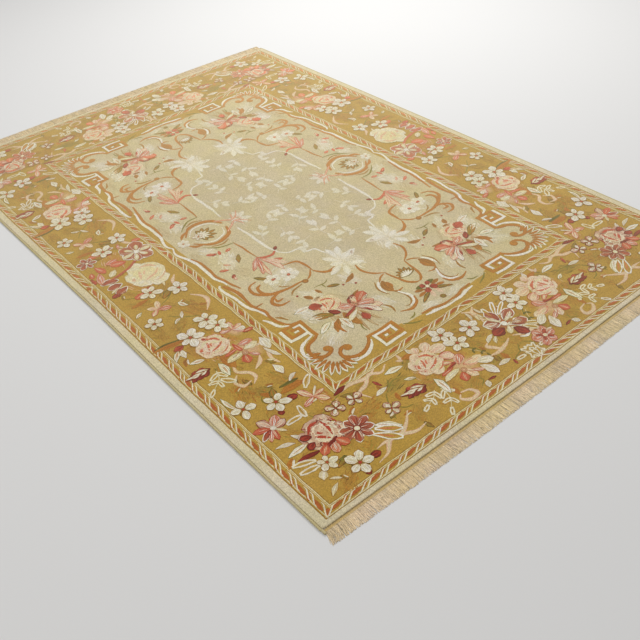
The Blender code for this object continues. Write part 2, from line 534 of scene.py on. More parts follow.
def petals(cartoon, x, y, size, turn, count, look, level, wide=0.30, inner=0.07, full=0.6,
           late=1.4, copies=FOUR):
    """A ring of blades round a centre. size is the flower's width."""
    for number in range(count):
        angle = turn + 360 * number / count + rng.uniform(-6, 6)
        way = math.radians(angle)
        start = (x + inner * size * math.cos(way), y + inner * size * math.sin(way))
        unlike = rng.uniform(0.80, 1.16)
        blade(cartoon, *start, size * (0.5 - inner) * unlike, size * wide * unlike, angle, look,
              level, full=full, late=late, copies=copies)


def rays(cartoon, x, y, reach, turn, count, colour, level, copies=FOUR):
    """Fine strands out of a flower's eye."""
    for number in range(count):
        way = math.radians(turn + 360 * number / count)
        tip = (x + reach * math.cos(way), y + reach * math.sin(way))
        strip(cartoon, np.linspace((x, y), tip, 3), np.array([1, 0.8, 0.2]) * STRAND / 2,
              [colour, colour], level, copies)


def blossom(cartoon, x, y, size, turn, count=5, look="white", level=4, copies=FOUR):
    """An open blossom of separate pointed petals with a small dark eye."""
    petals(cartoon, x, y, size * 0.60, turn + 180 / count, count, "olive_brown", level, wide=0.08,
           full=1, late=0.9, copies=copies)
    petals(cartoon, x, y, size * 1.08, turn, count, look, level + 0.4, wide=0.305, inner=0.08,
           full=0.52, late=1.08, copies=copies)
    rays(cartoon, x, y, size * 0.15, turn, count, SOFT_BROWN, level + 1.2, copies)
    disc(cartoon, x, y, size * 0.062, RED, RED, level + 1.5, copies)


def star(cartoon, x, y, size, turn, level=4, copies=FOUR):
    """A small four-petalled flower, white with a mauve outline."""
    petals(cartoon, x, y, size * 1.15, turn, 4, "mauve_pale", level, wide=0.38, copies=copies)
    petals(cartoon, x, y, size * 0.95, turn, 4, "white", level + 1, wide=0.22, copies=copies)
    disc(cartoon, x, y, size * 0.08, RED, BURGUNDY, level + 2, copies)


def daisy(cartoon, x, y, size, turn, count=8, level=4, copies=FOUR):
    """A large mauve flower, each petal outlined in white, with a cream eye."""
    petals(cartoon, x, y, size, turn, count, "mauve", level, wide=0.25, full=0.6, copies=copies)
    rays(cartoon, x, y, size * 0.30, turn, count * 2, BURGUNDY, level + 1, copies)
    rays(cartoon, x, y, size * 0.36, turn + 11, count, PALE_PINK, level + 1.2, copies)
    disc(cartoon, x, y, size * 0.125, RED, BURGUNDY, level + 1.5, copies)
    disc(cartoon, x, y, size * 0.085, WHITE, CREAM, level + 1.8, copies)


print("open flowers: blossom, star and daisy")

# %% [markdown]
# A rose is two rings of broad petals with a half-open cup in the middle. The cup is the hard
# part: a weaver shows it with a few curved strokes of shade and light, so the same is done
# here, with strokes written once in flower sizes and turned for each rose.

# %% The rose
# strokes of the cup in flower sizes: points along each, width, and whether it is shade
CUP_STROKES = (
    ([(-0.02, 0.31), (-0.19, 0.24), (-0.31, 0.06)], 0.080, True),
    ([(0.08, 0.30), (0.16, 0.10), (0.17, -0.16)], 0.066, True),
    ([(-0.20, -0.03), (-0.06, -0.10), (0.08, -0.20)], 0.070, True),
    ([(-0.13, -0.26), (-0.08, -0.31), (-0.02, -0.30)], 0.080, True),
    ([(-0.10, 0.10), (-0.06, 0.02), (0.02, -0.02)], 0.050, True),
    ([(-0.20, 0.10), (-0.24, -0.08), (-0.17, -0.22)], 0.090, False),
    ([(0.02, 0.22), (-0.08, 0.16), (-0.14, 0.04)], 0.075, False),
    ([(0.25, 0.20), (0.28, 0.00), (0.22, -0.18)], 0.075, False),
    ([(-0.28, 0.26), (-0.12, 0.38), (0.06, 0.40)], 0.060, False),
    ([(0.06, 0.02), (0.05, -0.08), (-0.02, -0.16)], 0.050, False),
    ([(0.30, 0.30), (0.38, 0.12), (0.38, -0.06)], 0.034, True),
)
STIPPLES = 40


def rose(cartoon, x, y, size, turn, outer="pale", cup="blush", level=4, copies=FOUR,
         stretch=0.12, shade=CORAL, light=CREAM):
    """A full rose: broad outer petals round a cup of curved strokes."""
    for reach, count, wide, above in ((0.50, 6, 0.40, 0.0), (0.40, 5, 0.36, 1.0)):
        for number in range(count):
            angle = 360 * number / count + 200 * above + rng.uniform(-10, 10)
            way = math.radians(angle + turn)
            longer = 1 + stretch * math.cos(2 * math.radians(angle))
            inner = 0.30 * reach * size
            start = (x + inner * math.cos(way), y + inner * math.sin(way))
            look = cup if (number + int(above)) % 4 == 2 else outer
            blade(cartoon, *start, (reach * size - inner) * longer * rng.uniform(0.88, 1.1),
                  size * wide * rng.uniform(0.85, 1.1), angle + turn, look, level + above,
                  bend=rng.uniform(-25, 25), full=0.42, late=1.6, copies=copies)
    base, tip = LOOKS[outer][0], LOOKS[outer][1]
    disc(cartoon, x, y, size * 0.25, blend(tip, base, 0.5), tip, level + 2, copies)
    way = math.radians(turn)
    turned = np.array([[math.cos(way), math.sin(way)], [-math.sin(way), math.cos(way)]])
    for knots, width, dark in CUP_STROKES:
        places = np.array([x, y]) + (np.array(knots) + rng.uniform(-0.02, 0.02, 2)) @ turned * size
        stroke(cartoon, places, width * size, shade if dark else light, level + 2.6, (0.4, 0.3),
               copies=copies)
    for number in range(STIPPLES):
        way = np.radians(rng.uniform(0, 360))
        out = np.array([math.cos(way), math.sin(way)])
        middle = np.array([x, y]) + out * size * rng.uniform(0.08, 0.44)
        reach = out * size * rng.uniform(0.03, 0.06)
        colour = (base, shade, light, WHITE)[number % 4]
        strip(cartoon, middle + np.array([[-0.5], [0], [0.5]]) * reach,
              np.array([0.4, 1, 0.4]) * STRAND * 0.5, [colour, colour], level + 3, copies)


print("rose:", len(CUP_STROKES), "strokes in its cup and", STIPPLES, "loose strands")

# %% [markdown]
# Buds and sprays grow along a line instead of round a middle. A bud has lobes up both sides, and
# a spray has leaves in pairs on a stem and one at its tip.

# %% Buds and sprays


def bud(cartoon, x, y, size, turn, level=4, copies=FOUR):
    """A long closed bud: dark red lobes up both sides of it, streaked with white."""
    way = np.array([math.cos(math.radians(turn)), math.sin(math.radians(turn))])
    blade(cartoon, x, y, size, size * 0.40, turn, "burgundy", level, full=0.9, late=0.85,
          copies=copies)
    for part, side, look in ((0.10, 1, "burgundy"), (0.15, -1, "red"), (0.36, 1, "burgundy"),
                             (0.40, -1, "red"), (0.60, 1, "burgundy")):
        foot = np.array([x, y]) + way * size * part
        blade(cartoon, *foot, size * 0.36, size * 0.20, turn + side * 34, look, level + 1,
              bend=-side * 50, full=0.9, late=1, copies=copies)
    for part, lean, reach in ((0.08, -16, 0.50), (0.30, -8, 0.44), (0.62, -4, 0.40),
                              (0.14, 14, 0.30), (0.46, 8, 0.30)):
        foot = np.array([x, y]) + way * size * part
        blade(cartoon, *foot, size * reach, size * 0.085, turn + lean, "white", level + 2,
              bend=-lean * 2, full=0.9, late=1, copies=copies)


def spray(cartoon, knots, pairs, size, look, level=2, stem=OLIVE, copies=FOUR, wide=0.34):
    """A bent stem with pairs of small leaves and one at its tip."""
    line = smooth_line(knots)
    stroke(cartoon, knots, min(size * 0.11, 0.004), stem, level, (1, 0.4), copies=copies)
    for pair in range(pairs):
        at = int((pair + 0.6) / (pairs + 0.3) * (len(line) - 2))
        run = line[at + 1] - line[at]
        along = math.degrees(math.atan2(run[1], run[0]))
        reach = size * (1 - 0.35 * pair / pairs)
        for lean in (-52, 48):
            blade(cartoon, *line[at], reach, reach * wide, along + lean, look, level + 0.5,
                  bend=-lean * 0.5, full=1.1, late=0.95, copies=copies)
    run = line[-1] - line[-2]
    blade(cartoon, *line[-1], size * 0.8, size * wide * 0.9,
          math.degrees(math.atan2(run[1], run[0])), look, level + 0.5, full=1.1, late=0.95,
          copies=copies)


print("buds and sprays ready")

# %% [markdown]
# Now the design itself, from the edge inwards. Two guard stripes frame the flower border. Each
# is a row of rust lozenges, long and short in turn, with slanted white bars between them, so
# that it reads as a twisted rope. Plain thin lines run beside it.

# %% Guard stripes
# half the length and half the width of each rectangle on the weaver's paper
IVORY_INNER = (1.4080, 0.9345)
OUTER_ROPE = (1.3940, 0.9175)
OUTER_LINE = (1.3795, 0.8985)
INNER_LINE = (1.0590, 0.6030)
INNER_ROPE = (1.0395, 0.5835)
ROPE_PITCH = 0.0715
# the long lozenge and the short one: length in pitches, thickness in widths, lean in degrees
LOZENGES = ((0.62, 0.50, 8), (0.30, 0.40, 32))
# a bar of the rope, along it in pitches and across it in widths: it crosses and runs on
TWIST = ((-0.38, -0.45), (-0.21, -0.41), (-0.11, -0.23), (0.11, 0.23), (0.21, 0.41), (0.38, 0.45))
BAR_PLACE = 0.335
BAR_WIDTH = 0.20

guards = Cartoon("guard_stripes")


def frame_line(size, width, colour, level, inset=0.0):
    """A thin line right round the rug, at half sizes less an inset."""
    long_half, wide_half = size[0] - inset, size[1] - inset
    for line in (
        np.linspace((0, -wide_half), (long_half + width / 2, -wide_half), 240),
        np.linspace((long_half, -wide_half - width / 2), (long_half, 0), 160),
    ):
        strip(guards, line, width / 2, [colour, colour], level, rough=RAGGED)


def rope(size, width):
    """One quarter of a rope stripe: along the near side, then up the right end."""
    runs = (((0, -size[1]), 0, size[0]), ((size[0], -size[1]), 90, size[1]))
    for start, heading, length in runs:
        way = np.array([math.cos(math.radians(heading)), math.sin(math.radians(heading))])
        tilt = -1 if heading == 0 else 1
        units = round(length / ROPE_PITCH)
        pitch = length / units
        for unit in range(units):
            long_place = np.array(start) + way * pitch * (unit + 0.5)
            short_place = np.array(start) + way * pitch * (unit + (heading > 0))
            for place, (reach, thick, lean) in zip((long_place, short_place), LOZENGES):
                base = place - way * pitch * reach / 2
                blade(guards, *base, pitch * reach, width * thick, heading + tilt * lean,
                      "brick", 2, full=0.55, late=1)
            for side in (-1, 1):
                bar = long_place + side * way * pitch * BAR_PLACE
                normal = np.array([-way[1], way[0]]) * tilt
                knots = [bar + normal * width * across + way * pitch * along
                         for along, across in TWIST]
                stroke(guards, knots, width * BAR_WIDTH, BAR_WHITE, 3, (0.3, 0.3))
    corner = (size[0] - width * 0.45, -size[1] + width * 0.45)
    blade(guards, *corner, width * 1.2, width * 0.58, -45, "brick", 2, full=0.5, late=1)


frame_line(IVORY_INNER, 0.0030, DEEP_GOLD, 1)
frame_line(OUTER_ROPE, 0.0030, CREAM, 1, inset=-0.0112)
frame_line(OUTER_LINE, 0.0034, CREAM, 1)
frame_line(OUTER_LINE, 0.0018, DEEP_GOLD, 1, inset=0.0034)
frame_line(OUTER_LINE, 0.0020, CREAM, 1, inset=-0.0046)
frame_line(INNER_LINE, 0.0042, CREAM, 1)
frame_line(INNER_LINE, 0.0020, DEEP_GOLD, 1, inset=-0.0038)
frame_line(INNER_LINE, 0.0026, CREAM, 1, inset=0.0060)
frame_line(INNER_ROPE, 0.0026, CREAM, 1, inset=0.0132)
rope(OUTER_ROPE, 0.021)
rope(INNER_ROPE, 0.022)
print("guard stripes:", guards.drawn, "patches in a quarter")

# %% [markdown]
# The wide border is a garland on gold. One quarter of it is written down here, from the middle
# of the near side to the corner and up the right end, and the other three mirror it. Places and
# sizes on the weaver's paper are in millimetres, and headings in degrees. The leaves come
# first: soft brown ones are hatched as shadows, and the others are blades.

# %% The border's leaves
garland = Cartoon("border_leaves")

# columns: x, y, length, width, turn, bend, look
LEAVES = [
    # shadows behind the flowers
    (335, -690, 85, 40, 15, 20, "shadow"), (395, -745, 70, 34, -60, 20, "shadow"),
    (505, -820, 110, 24, -96, 8, "terracotta"), (492, -825, 95, 12, -94, 10, "olive"),
    (460, -860, 75, 26, 172, 12, "shadow"), (630, -760, 120, 50, -22, 30, "shadow"),
    (665, -770, 80, 36, 4, -20, "terracotta"), (820, -800, 80, 46, -20, 30, "shadow"),
    (870, -790, 60, 30, 30, 20, "brown"), (945, -640, 85, 30, -92, 10, "terracotta"),
    (925, -645, 70, 14, -95, 10, "olive"), (905, -735, 50, 22, -30, 0, "olive_brown"),
    (1180, -530, 75, 36, -80, 15, "shadow"), (1215, -585, 50, 32, -120, 15, "brown"),
    (1265, -580, 60, 30, 210, 10, "shadow"), (1338, -772, 75, 34, -68, 10, "brown"),
    (1225, -310, 100, 50, -75, -20, "shadow"), (1235, -305, 75, 34, 4, 25, "brown"),
    (1080, -20, 60, 34, -85, 15, "shadow"), (1170, -20, 60, 36, -80, 10, "shadow"),
    (1110, -285, 60, 22, -110, 20, "terracotta"), (1320, -215, 55, 24, -60, 25, "shadow"),
    (120, -840, 75, 30, 40, 20, "shadow"), (215, -790, 75, 18, -82, 10, "terracotta"),
    (225, -700, 55, 28, -60, 10, "olive_brown"), (1165, -100, 55, 24, 60, 10, "shadow"),
    # leaves in light yarns
    (310, -720, 45, 18, 30, 30, "veined"), (365, -735, 40, 12, -30, 20, "white"),
    (395, -760, 35, 12, -60, 40, "veined"), (270, -850, 35, 14, -60, 20, "veined"),
    (545, -850, 45, 22, -10, 40, "white"), (540, -860, 60, 18, -35, 30, "olive_white"),
    (640, -820, 50, 20, -105, 20, "veined"), (690, -795, 75, 28, -4, -20, "olive_white"),
    (745, -625, 70, 34, 176, 25, "white"), (800, -615, 80, 16, 195, -30, "white"),
    (760, -830, 45, 24, 35, 0, "gilt"), (875, -665, 60, 26, 185, 35, "white"),
    (900, -630, 50, 14, -60, 60, "white"), (940, -610, 55, 28, -50, 20, "gilt"),
    (830, -885, 80, 15, 14, 35, "veined"), (885, -860, 30, 16, 60, 20, "white"),
    (1035, -690, 40, 22, 100, 0, "gilt"), (1025, -725, 45, 24, -10, 0, "gilt"),
    (1060, -745, 50, 22, -85, 10, "gilt"), (1245, -605, 80, 32, 48, 0, "veined"),
    (1145, -795, 45, 16, 212, 20, "white"), (1165, -800, 75, 22, -84, 12, "olive_white"),
    (1140, -825, 65, 14, -108, 30, "white"), (1230, -825, 65, 20, -110, 10, "gilt"),
    (1252, -830, 55, 22, -100, 0, "gilt"), (1275, -825, 40, 28, -40, 40, "ivory"),
    (1330, -810, 35, 12, 235, 30, "ivory"), (1335, -830, 50, 14, -55, 20, "ivory"),
    (1060, -300, 55, 18, 20, 20, "white"), (1115, -360, 70, 22, -96, 10, "olive_white"),
    (1180, -370, 35, 16, -115, 0, "veined"), (1150, -465, 50, 18, -80, 10, "white"),
    (1225, -335, 80, 28, -4, -24, "olive_white"), (1345, -215, 32, 20, -35, 0, "white"),
    (1330, -85, 50, 18, -96, 10, "white"), (1212, -35, 50, 16, -60, 50, "white"),
    (1225, -30, 40, 14, -40, 50, "ivory"), (1075, -20, 45, 12, -20, -50, "white"),
    (1135, 10, 30, 10, 190, 0, "ivory"), (150, -690, 40, 10, -20, 0, "ivory"),
    # dark accents
    (1055, -560, 55, 16, -75, 10, "burgundy"), (1105, -545, 60, 18, -115, -30, "olive_brown"),
    (1210, -790, 75, 16, -95, 10, "burgundy"), (1135, -470, 35, 10, 200, 0, "red"),
    (1350, -180, 30, 8, -100, 0, "burgundy"), (1290, -745, 30, 22, 240, 20, "olive"),
    (1280, -750, 45, 14, -70, 10, "olive_brown"), (1340, -82, 22, 8, -10, 0, "red"),
]
for *sizes, turn, bend, look in LEAVES:
    x, y, length, width = metres(*sizes)
    if look in ("shadow", "brown"):
        way = math.radians(turn)
        middle = (x + length / 2 * math.cos(way), y + length / 2 * math.sin(way))
        hatching(garland, *middle, length * 1.3, width * 1.3, turn, look)
    else:
        narrow = 0.5 if look == "gilt" else 1
        blade(garland, x, y, length, width * narrow, turn, look, 3, bend, full=0.95, late=0.95)

print(len(LEAVES), "leaves in a quarter")

# %% [markdown]
# The gold between the flowers is never plain: brown, olive and coral strands are worked into it
# near each flower. They lie low, so that leaves and petals cover them.

# %% Shading round the flowers
# columns: x, y, length, width, heading, shade
GROUND_SHADES = [
    (100, -760, 130, 100, 20, "ember"), (200, -720, 110, 60, -50, "shadow"),
    (225, -830, 100, 50, 60, "shadow"), (300, -760, 90, 50, 30, "shadow"),
    (385, -690, 130, 75, 25, "brown"), (430, -780, 90, 50, -50, "shadow"),
    (420, -870, 90, 35, 10, "shadow"), (500, -730, 110, 60, 20, "shadow"),
    (500, -850, 95, 30, -85, "terracotta"), (590, -700, 120, 60, 20, "ember"),
    (650, -770, 130, 60, 5, "ember"), (600, -820, 120, 50, 10, "brown"),
    (760, -700, 100, 70, 40, "shadow"), (735, -780, 90, 60, 30, "shadow"),
    (850, -810, 130, 80, -15, "brown"), (900, -760, 90, 60, 50, "olive"),
    (880, -690, 100, 50, 20, "shadow"), (930, -680, 100, 40, -70, "terracotta"),
    (1000, -800, 80, 40, -20, "shadow"), (1050, -640, 110, 50, 10, "ember"),
    (1100, -700, 80, 60, 60, "shadow"), (1110, -800, 90, 50, 40, "shadow"),
    (1180, -575, 120, 60, -75, "brown"), (1250, -700, 100, 60, 30, "shadow"),
    (1190, -800, 100, 50, -60, "brown"), (1290, -650, 90, 45, -60, "shadow"),
    (1355, -800, 80, 45, -25, "terracotta"), (1290, -770, 70, 40, 20, "olive"),
    (1160, -440, 120, 50, -80, "olive"), (1090, -500, 130, 35, -85, "shadow"),
    (1300, -470, 90, 50, -40, "shadow"), (1290, -380, 90, 60, 20, "shadow"),
    (1200, -340, 100, 60, 10, "ember"), (1110, -330, 90, 45, -60, "olive"),
    (1240, -270, 110, 60, 60, "brown"), (1320, -240, 90, 45, -60, "shadow"),
    (1200, -200, 90, 60, 20, "ember"), (1200, -110, 90, 50, 30, "shadow"),
    (1130, -115, 90, 60, 70, "shadow"), (1300, -110, 90, 45, -80, "olive"),
    (1340, -40, 80, 40, 60, "shadow"), (1110, -30, 90, 45, -70, "brown"),
    (1270, -10, 90, 50, 20, "shadow"), (1080, -240, 80, 35, -80, "shadow"),
]
for *sizes, heading, shade in GROUND_SHADES:
    hatching(garland, *metres(*sizes), heading, shade)
print(len(GROUND_SHADES), "shaded places in a quarter")

# %% [markdown]
# Pale pink ribbons and thin stems tie the flowers together. A ribbon is three strokes on one
# line, each narrower and lighter than the last. A stem is one, and the sprays grow beside them.

# %% Ribbons, stems and sprays
# points along each ribbon, x and y in turn
RIBBONS = [
    (150, -640, 190, -668, 230, -650), (300, -660, 345, -628, 380, -632, 420, -665),
    (690, -612, 700, -640, 690, -665), (745, -640, 790, -650, 825, -640),
    (745, -668, 775, -690, 795, -720), (715, -755, 765, -775, 795, -745, 825, -742, 850, -765),
    (780, -785, 805, -808, 835, -795, 832, -762), (1060, -340, 1088, -345, 1082, -362),
    (1072, -395, 1090, -430, 1072, -470, 1098, -510, 1112, -545, 1152, -530),
    (1062, -440, 1075, -480, 1062, -540, 1070, -590),
    (1268, -492, 1300, -530, 1322, -570, 1318, -612, 1350, -650, 1362, -695),
    (1342, -485, 1345, -530, 1324, -575, 1316, -620, 1318, -665),
    (1325, -318, 1335, -285, 1362, -278, 1368, -310, 1345, -335, 1330, -322),
    (1260, -10, 1278, -50, 1282, -90, 1275, -125), (1290, -60, 1262, -78, 1240, -95, 1230, -80),
    (1065, 25, 1090, 0, 1125, -2, 1150, 8),
]
for ribbon in RIBBONS:
    knots = path(*ribbon)
    stroke(garland, knots, 0.0150, blend(GOLD, PINK, 0.9), 1.4, (0.3, 0.2))
    stroke(garland, knots, 0.0085, blend(PINK, PALE_PINK, 0.5), 1.8, (0.3, 0.2))
    stroke(garland, knots, 0.0024, blend(GOLD, CREAM, 0.8), 2.2, (0.3, 0.2))

# points along each thin stem
STEMS = [
    (155, -860, 175, -820, 178, -785), (235, -700, 262, -735, 280, -780),
    (430, -700, 400, -745, 350, -790), (600, -690, 615, -720, 618, -750),
    (905, -770, 930, -790, 960, -785), (1075, -600, 1090, -650, 1105, -700),
    (1075, -725, 1105, -718, 1120, -722), (1150, -400, 1147, -440, 1175, -490),
    (1175, -490, 1200, -508, 1222, -512), (1128, -440, 1150, -452, 1165, -440),
    (1262, -460, 1255, -485, 1235, -500), (1235, -515, 1255, -535, 1270, -540),
    (1180, -165, 1215, -130, 1268, -112), (1328, -30, 1335, -60, 1345, -80),
    (1300, -12, 1325, -30, 1340, -22), (1315, -230, 1335, -222, 1352, -245),
]
for stem in STEMS:
    stroke(garland, path(*stem), 0.0042, OLIVE, 1.2, (0.6, 0.3))

# columns: points along the stem, pairs of leaves, leaf size, look
SPRAYS = [
    ((1268, -348, 1310, -352, 1352, -385), 2, 30, "gilt"),
    ((1262, -370, 1282, -395, 1298, -432), 2, 26, "gilt"),
    ((715, -820, 752, -836, 785, -878), 2, 34, "gilt"),
    ((1345, 30, 1352, 0, 1350, -40), 2, 34, "gilt"),
    ((1205, -150, 1235, -128, 1262, -120), 2, 16, "olive"),
    ((85, -655, 115, -670, 145, -700), 2, 20, "pale"),
]
for knots, pairs, size, look in SPRAYS:
    spray(garland, path(*knots), pairs, size / MILLIMETRES, look, 2, CREAM,
          wide=0.22 if look == "gilt" else 0.34)
print("garland:", garland.drawn, "patches in a quarter")

# %% [markdown]
# The flowers sit on top of the garland. White blossoms and loose petals, in twos and threes,
# make up most of them, so they are tables as well. Where petals crowd together the ground under
# them is stained pink first, so that no gold shows through.

# %% Blossoms and loose petals
flowers = Cartoon("border_flowers", base=3.5)

# columns: x, y, size, turn, number of petals
BLOSSOMS = [
    (236, -672, 72, 20, 5), (186, -765, 80, 60, 5), (358, -848, 74, 40, 5), (468, -700, 84, 10, 5),
    (520, -688, 80, 40, 5), (512, -795, 90, 70, 5), (920, -858, 76, 75, 4), (963, -762, 90, 65, 5),
    (1322, -735, 88, 70, 5), (1158, -152, 80, 20, 5), (1096, -164, 80, 60, 5),
    (1258, -803, 62, 90, 5),
]
for *sizes, turn, count in BLOSSOMS:
    blossom(flowers, *metres(*sizes), turn, count)
blossom(flowers, 1.136, -0.066, 0.080, 100, copies=HALF_TURN)

# columns: x, y, length, width, turn, bend, look
LONE_PETALS = [
    (165, -785, 45, 26, -60, 0, "coral"), (545, -770, 30, 22, 20, 0, "red"),
    (528, -835, 36, 26, -80, 0, "red"), (972, -732, 38, 28, 75, 0, "burgundy"),
    (995, -772, 26, 20, -20, 0, "burgundy"), (1330, -702, 38, 28, 88, 0, "burgundy"),
    (1350, -738, 24, 18, -10, 0, "burgundy"), (150, -745, 40, 12, -70, 0, "red"),
    (290, -795, 50, 24, 60, 10, "coral_white"), (290, -795, 45, 22, 160, 10, "pale"),
    (290, -795, 45, 20, -50, 10, "blush"), (290, -795, 40, 20, 230, 0, "pale"),
    (1025, -662, 55, 22, 40, 10, "blush"), (1025, -662, 60, 22, 205, 10, "blush"),
    (1025, -662, 50, 20, -70, 10, "coral_white"), (1025, -662, 45, 14, 100, 10, "blush"),
    (1025, -662, 50, 8, 135, 0, "white"), (575, -660, 40, 20, 100, 0, "blush"),
    (575, -660, 45, 20, 170, 0, "blush"), (575, -660, 45, 20, 40, 0, "coral_white"),
    (575, -668, 40, 18, 250, 0, "coral_white"), (610, -640, 40, 18, 80, 0, "coral"),
    (580, -650, 35, 22, 60, 0, "white"),
    # the cream and coral flower beside each rose
    (655, -690, 50, 30, 80, 10, "coral_white"), (690, -690, 55, 34, 95, -10, "ivory"),
    (700, -700, 70, 30, -80, 20, "ivory"), (712, -705, 45, 34, -15, 10, "coral"),
    (670, -700, 60, 14, -80, 10, "coral"), (640, -705, 50, 16, 10, 10, "coral"),
    (715, -690, 40, 14, 40, 10, "coral_white"), (690, -710, 45, 10, -60, 30, "red"),
    (1235, -225, 50, 34, 140, 10, "coral_white"), (1262, -230, 50, 26, 20, 10, "pale"),
    (1250, -240, 75, 26, -80, 20, "ivory"), (1268, -243, 42, 32, -25, 10, "coral"),
    (1232, -250, 55, 14, -85, 0, "coral"), (1215, -235, 50, 18, -120, 10, "blush"),
    (1245, -215, 60, 34, 80, 10, "blush"), (1275, -225, 55, 16, 60, 10, "coral_white"),
    (1225, -270, 50, 10, 100, 30, "red"), (1255, -190, 50, 30, 95, 0, "pale"),
    # lilies
    (1262, -175, 62, 32, 62, -10, "white"), (1282, -178, 68, 34, 16, -20, "white"),
    # upper petals of the roses at the ends
    (1120, -265, 50, 40, 130, 0, "pale"), (1135, -250, 60, 44, 90, 0, "pale"),
    (1165, -250, 55, 40, 60, 0, "blush"), (1105, -285, 30, 30, 165, 0, "pale"),
    # coral flower near the corner
    (1045, -838, 55, 32, 135, 20, "coral_white"), (1045, -838, 58, 32, 205, 20, "mauve_pale"),
    (1045, -838, 62, 22, 250, 10, "coral"), (1045, -838, 58, 18, -65, 10, "mauve"),
    (1045, -838, 55, 16, -40, 10, "coral_white"), (1045, -838, 52, 18, -15, 10, "coral"),
    (1045, -838, 50, 30, 100, 20, "mauve_pale"), (1045, -838, 45, 10, 35, 10, "ivory"),
]
for *sizes, heading in (
   (690, -675, 130, 90, 20), (1245, -215, 120, 90, 60), (1045, -838, 70, 60, 60),
    (580, -660, 90, 60, 30),
):
    stain(flowers, *metres(*sizes), heading, PINK, GOLD, 0.75, -2)
for *sizes, turn, bend, look in LONE_PETALS:
    blade(flowers, *metres(*sizes), turn, look, 1, bend)
for x, y in ((0.706, -0.698), (1.264, -0.233)):
    disc(flowers, x, y, 0.0115, PALE_PINK, RUST, 3)
    disc(flowers, x, y, 0.0060, CREAM, RED, 4)
disc(flowers, 1.046, -0.836, 0.010, WHITE, SHADE_WHITE, 3)

print(len(BLOSSOMS), "blossoms and", len(LONE_PETALS), "loose petals in a quarter")

# %% [markdown]
# The large flowers are few and stand clear of each other: two roses, two buds, a daisy, three
# stars, and the mauve rose in the corner with dark petals at its foot.

# %% Roses, daisies, stars and buds
for x, y, size, turn in ((1.120, -0.575, 0.054, 20), (1.112, -0.645, 0.054, 50),
                         (1.228, -0.520, 0.056, 10)):
    star(flowers, x, y, size, turn)
daisy(flowers, 1.219, -0.652, 0.110, 15, level=3)
rose(flowers, 0.602, -0.762, 0.128, 10, level=1, stretch=0.2)
rose(flowers, 1.160, -0.295, 0.122, 10, level=1)
bud(flowers, 0.690, -0.828, 0.090, -92, level=1)
bud(flowers, 1.228, -0.372, 0.090, -98, level=1)
blade(flowers, 1.258, -0.612, 0.075, 0.020, 50, "quill", 1, full=0.8)
blade(flowers, 1.272, -0.632, 0.080, 0.020, 42, "quill", 1, full=0.8)

# the mauve rose in each corner, its dark foot and side petals
rose(flowers, 1.160, -0.738, 0.150, 75, "mauve_pale", "mauve_pale", 1, shade=RED,
     light=blend(MAUVE, PALE_PINK, 0.5))
hatching(flowers, 1.150, -0.700, 0.070, 0.030, 40, "mist", 5, ground=PALE_PINK)
for *sizes, turn, look in (
   (1150, -775, 35, 26, -110, "burgundy"), (1175, -780, 32, 26, -70, "burgundy"),
    (1205, -725, 45, 30, 25, "coral"), (1208, -740, 45, 30, -15, "coral_white"),
    (1205, -760, 42, 28, -50, "coral"), (1200, -715, 55, 12, -75, "burgundy"),
):
    blade(flowers, *metres(*sizes), turn, look, 6.2)

print("with roses, daisies, stars and buds:", flowers.drawn, "patches in a quarter")

# %% [markdown]
# Little leaves fill what gaps are left. They could be placed by hand, but a weaver drops them
# in wherever there is room, so chance picks a place and the leaf is kept only where it is clear
# of every flower.

# %% Fillers between the flowers
# places to keep clear: x, y, radius
taken = [(x, y, size / 2) for x, y, size in (metres(*row[:3]) for row in BLOSSOMS)]
taken += [
    (0.602, -0.762, 0.075), (1.160, -0.295, 0.075), (1.160, -0.738, 0.095), (1.219, -0.652, 0.060),
    (0.690, -0.828, 0.060), (1.228, -0.390, 0.060), (0.068, -0.714, 0.105), (0.700, -0.700, 0.060),
    (1.250, -0.240, 0.060), (1.045, -0.838, 0.060), (1.200, 0.000, 0.080), (0.290, -0.795, 0.045),
]
FILLERS = 26
TRIES = FILLERS * 8
NEAR_SIDE_SHARE = 0.62
CLEARANCE = 0.012
filled = 0
for _ in range(TRIES):
    if filled == FILLERS:
        break
    if rng.random() < NEAR_SIDE_SHARE:
        x, y = rng.uniform(0.02, 1.34), rng.uniform(-0.875, -0.640)
    else:
        x, y = rng.uniform(1.095, 1.350), rng.uniform(-0.640, -0.02)
    if any(math.hypot(x - cx, y - cy) < radius + CLEARANCE for cx, cy, radius in taken):
        continue
    taken.append((x, y, CLEARANCE))
    filled += 1
    turn = rng.uniform(0, 360)
    look = ("brown", "terracotta", "olive_brown")[filled % 3]
    length = rng.uniform(0.022, 0.042)
    blade(garland, x, y, length, length * 0.42, turn, look, 1.2, bend=rng.uniform(-50, 50),
          full=0.9, late=0.9)
    if filled % 2:
        way = math.radians(turn + 70)
        blade(garland, x + 0.008 * math.cos(way), y + 0.008 * math.sin(way), length * 0.8,
              length * 0.20, turn + 12, ("white", "ivory")[filled % 4 // 2], 2, bend=40, late=0.9)
print(filled, "little leaves in the gaps of a quarter")

# %% [markdown]
# The bunches in the middle of each side don't mirror: they turn by half a turn from one side to
# the other, as the weaver turned the paper round. Each long side has a cream rose, a large
# mauve flower and a daisy.

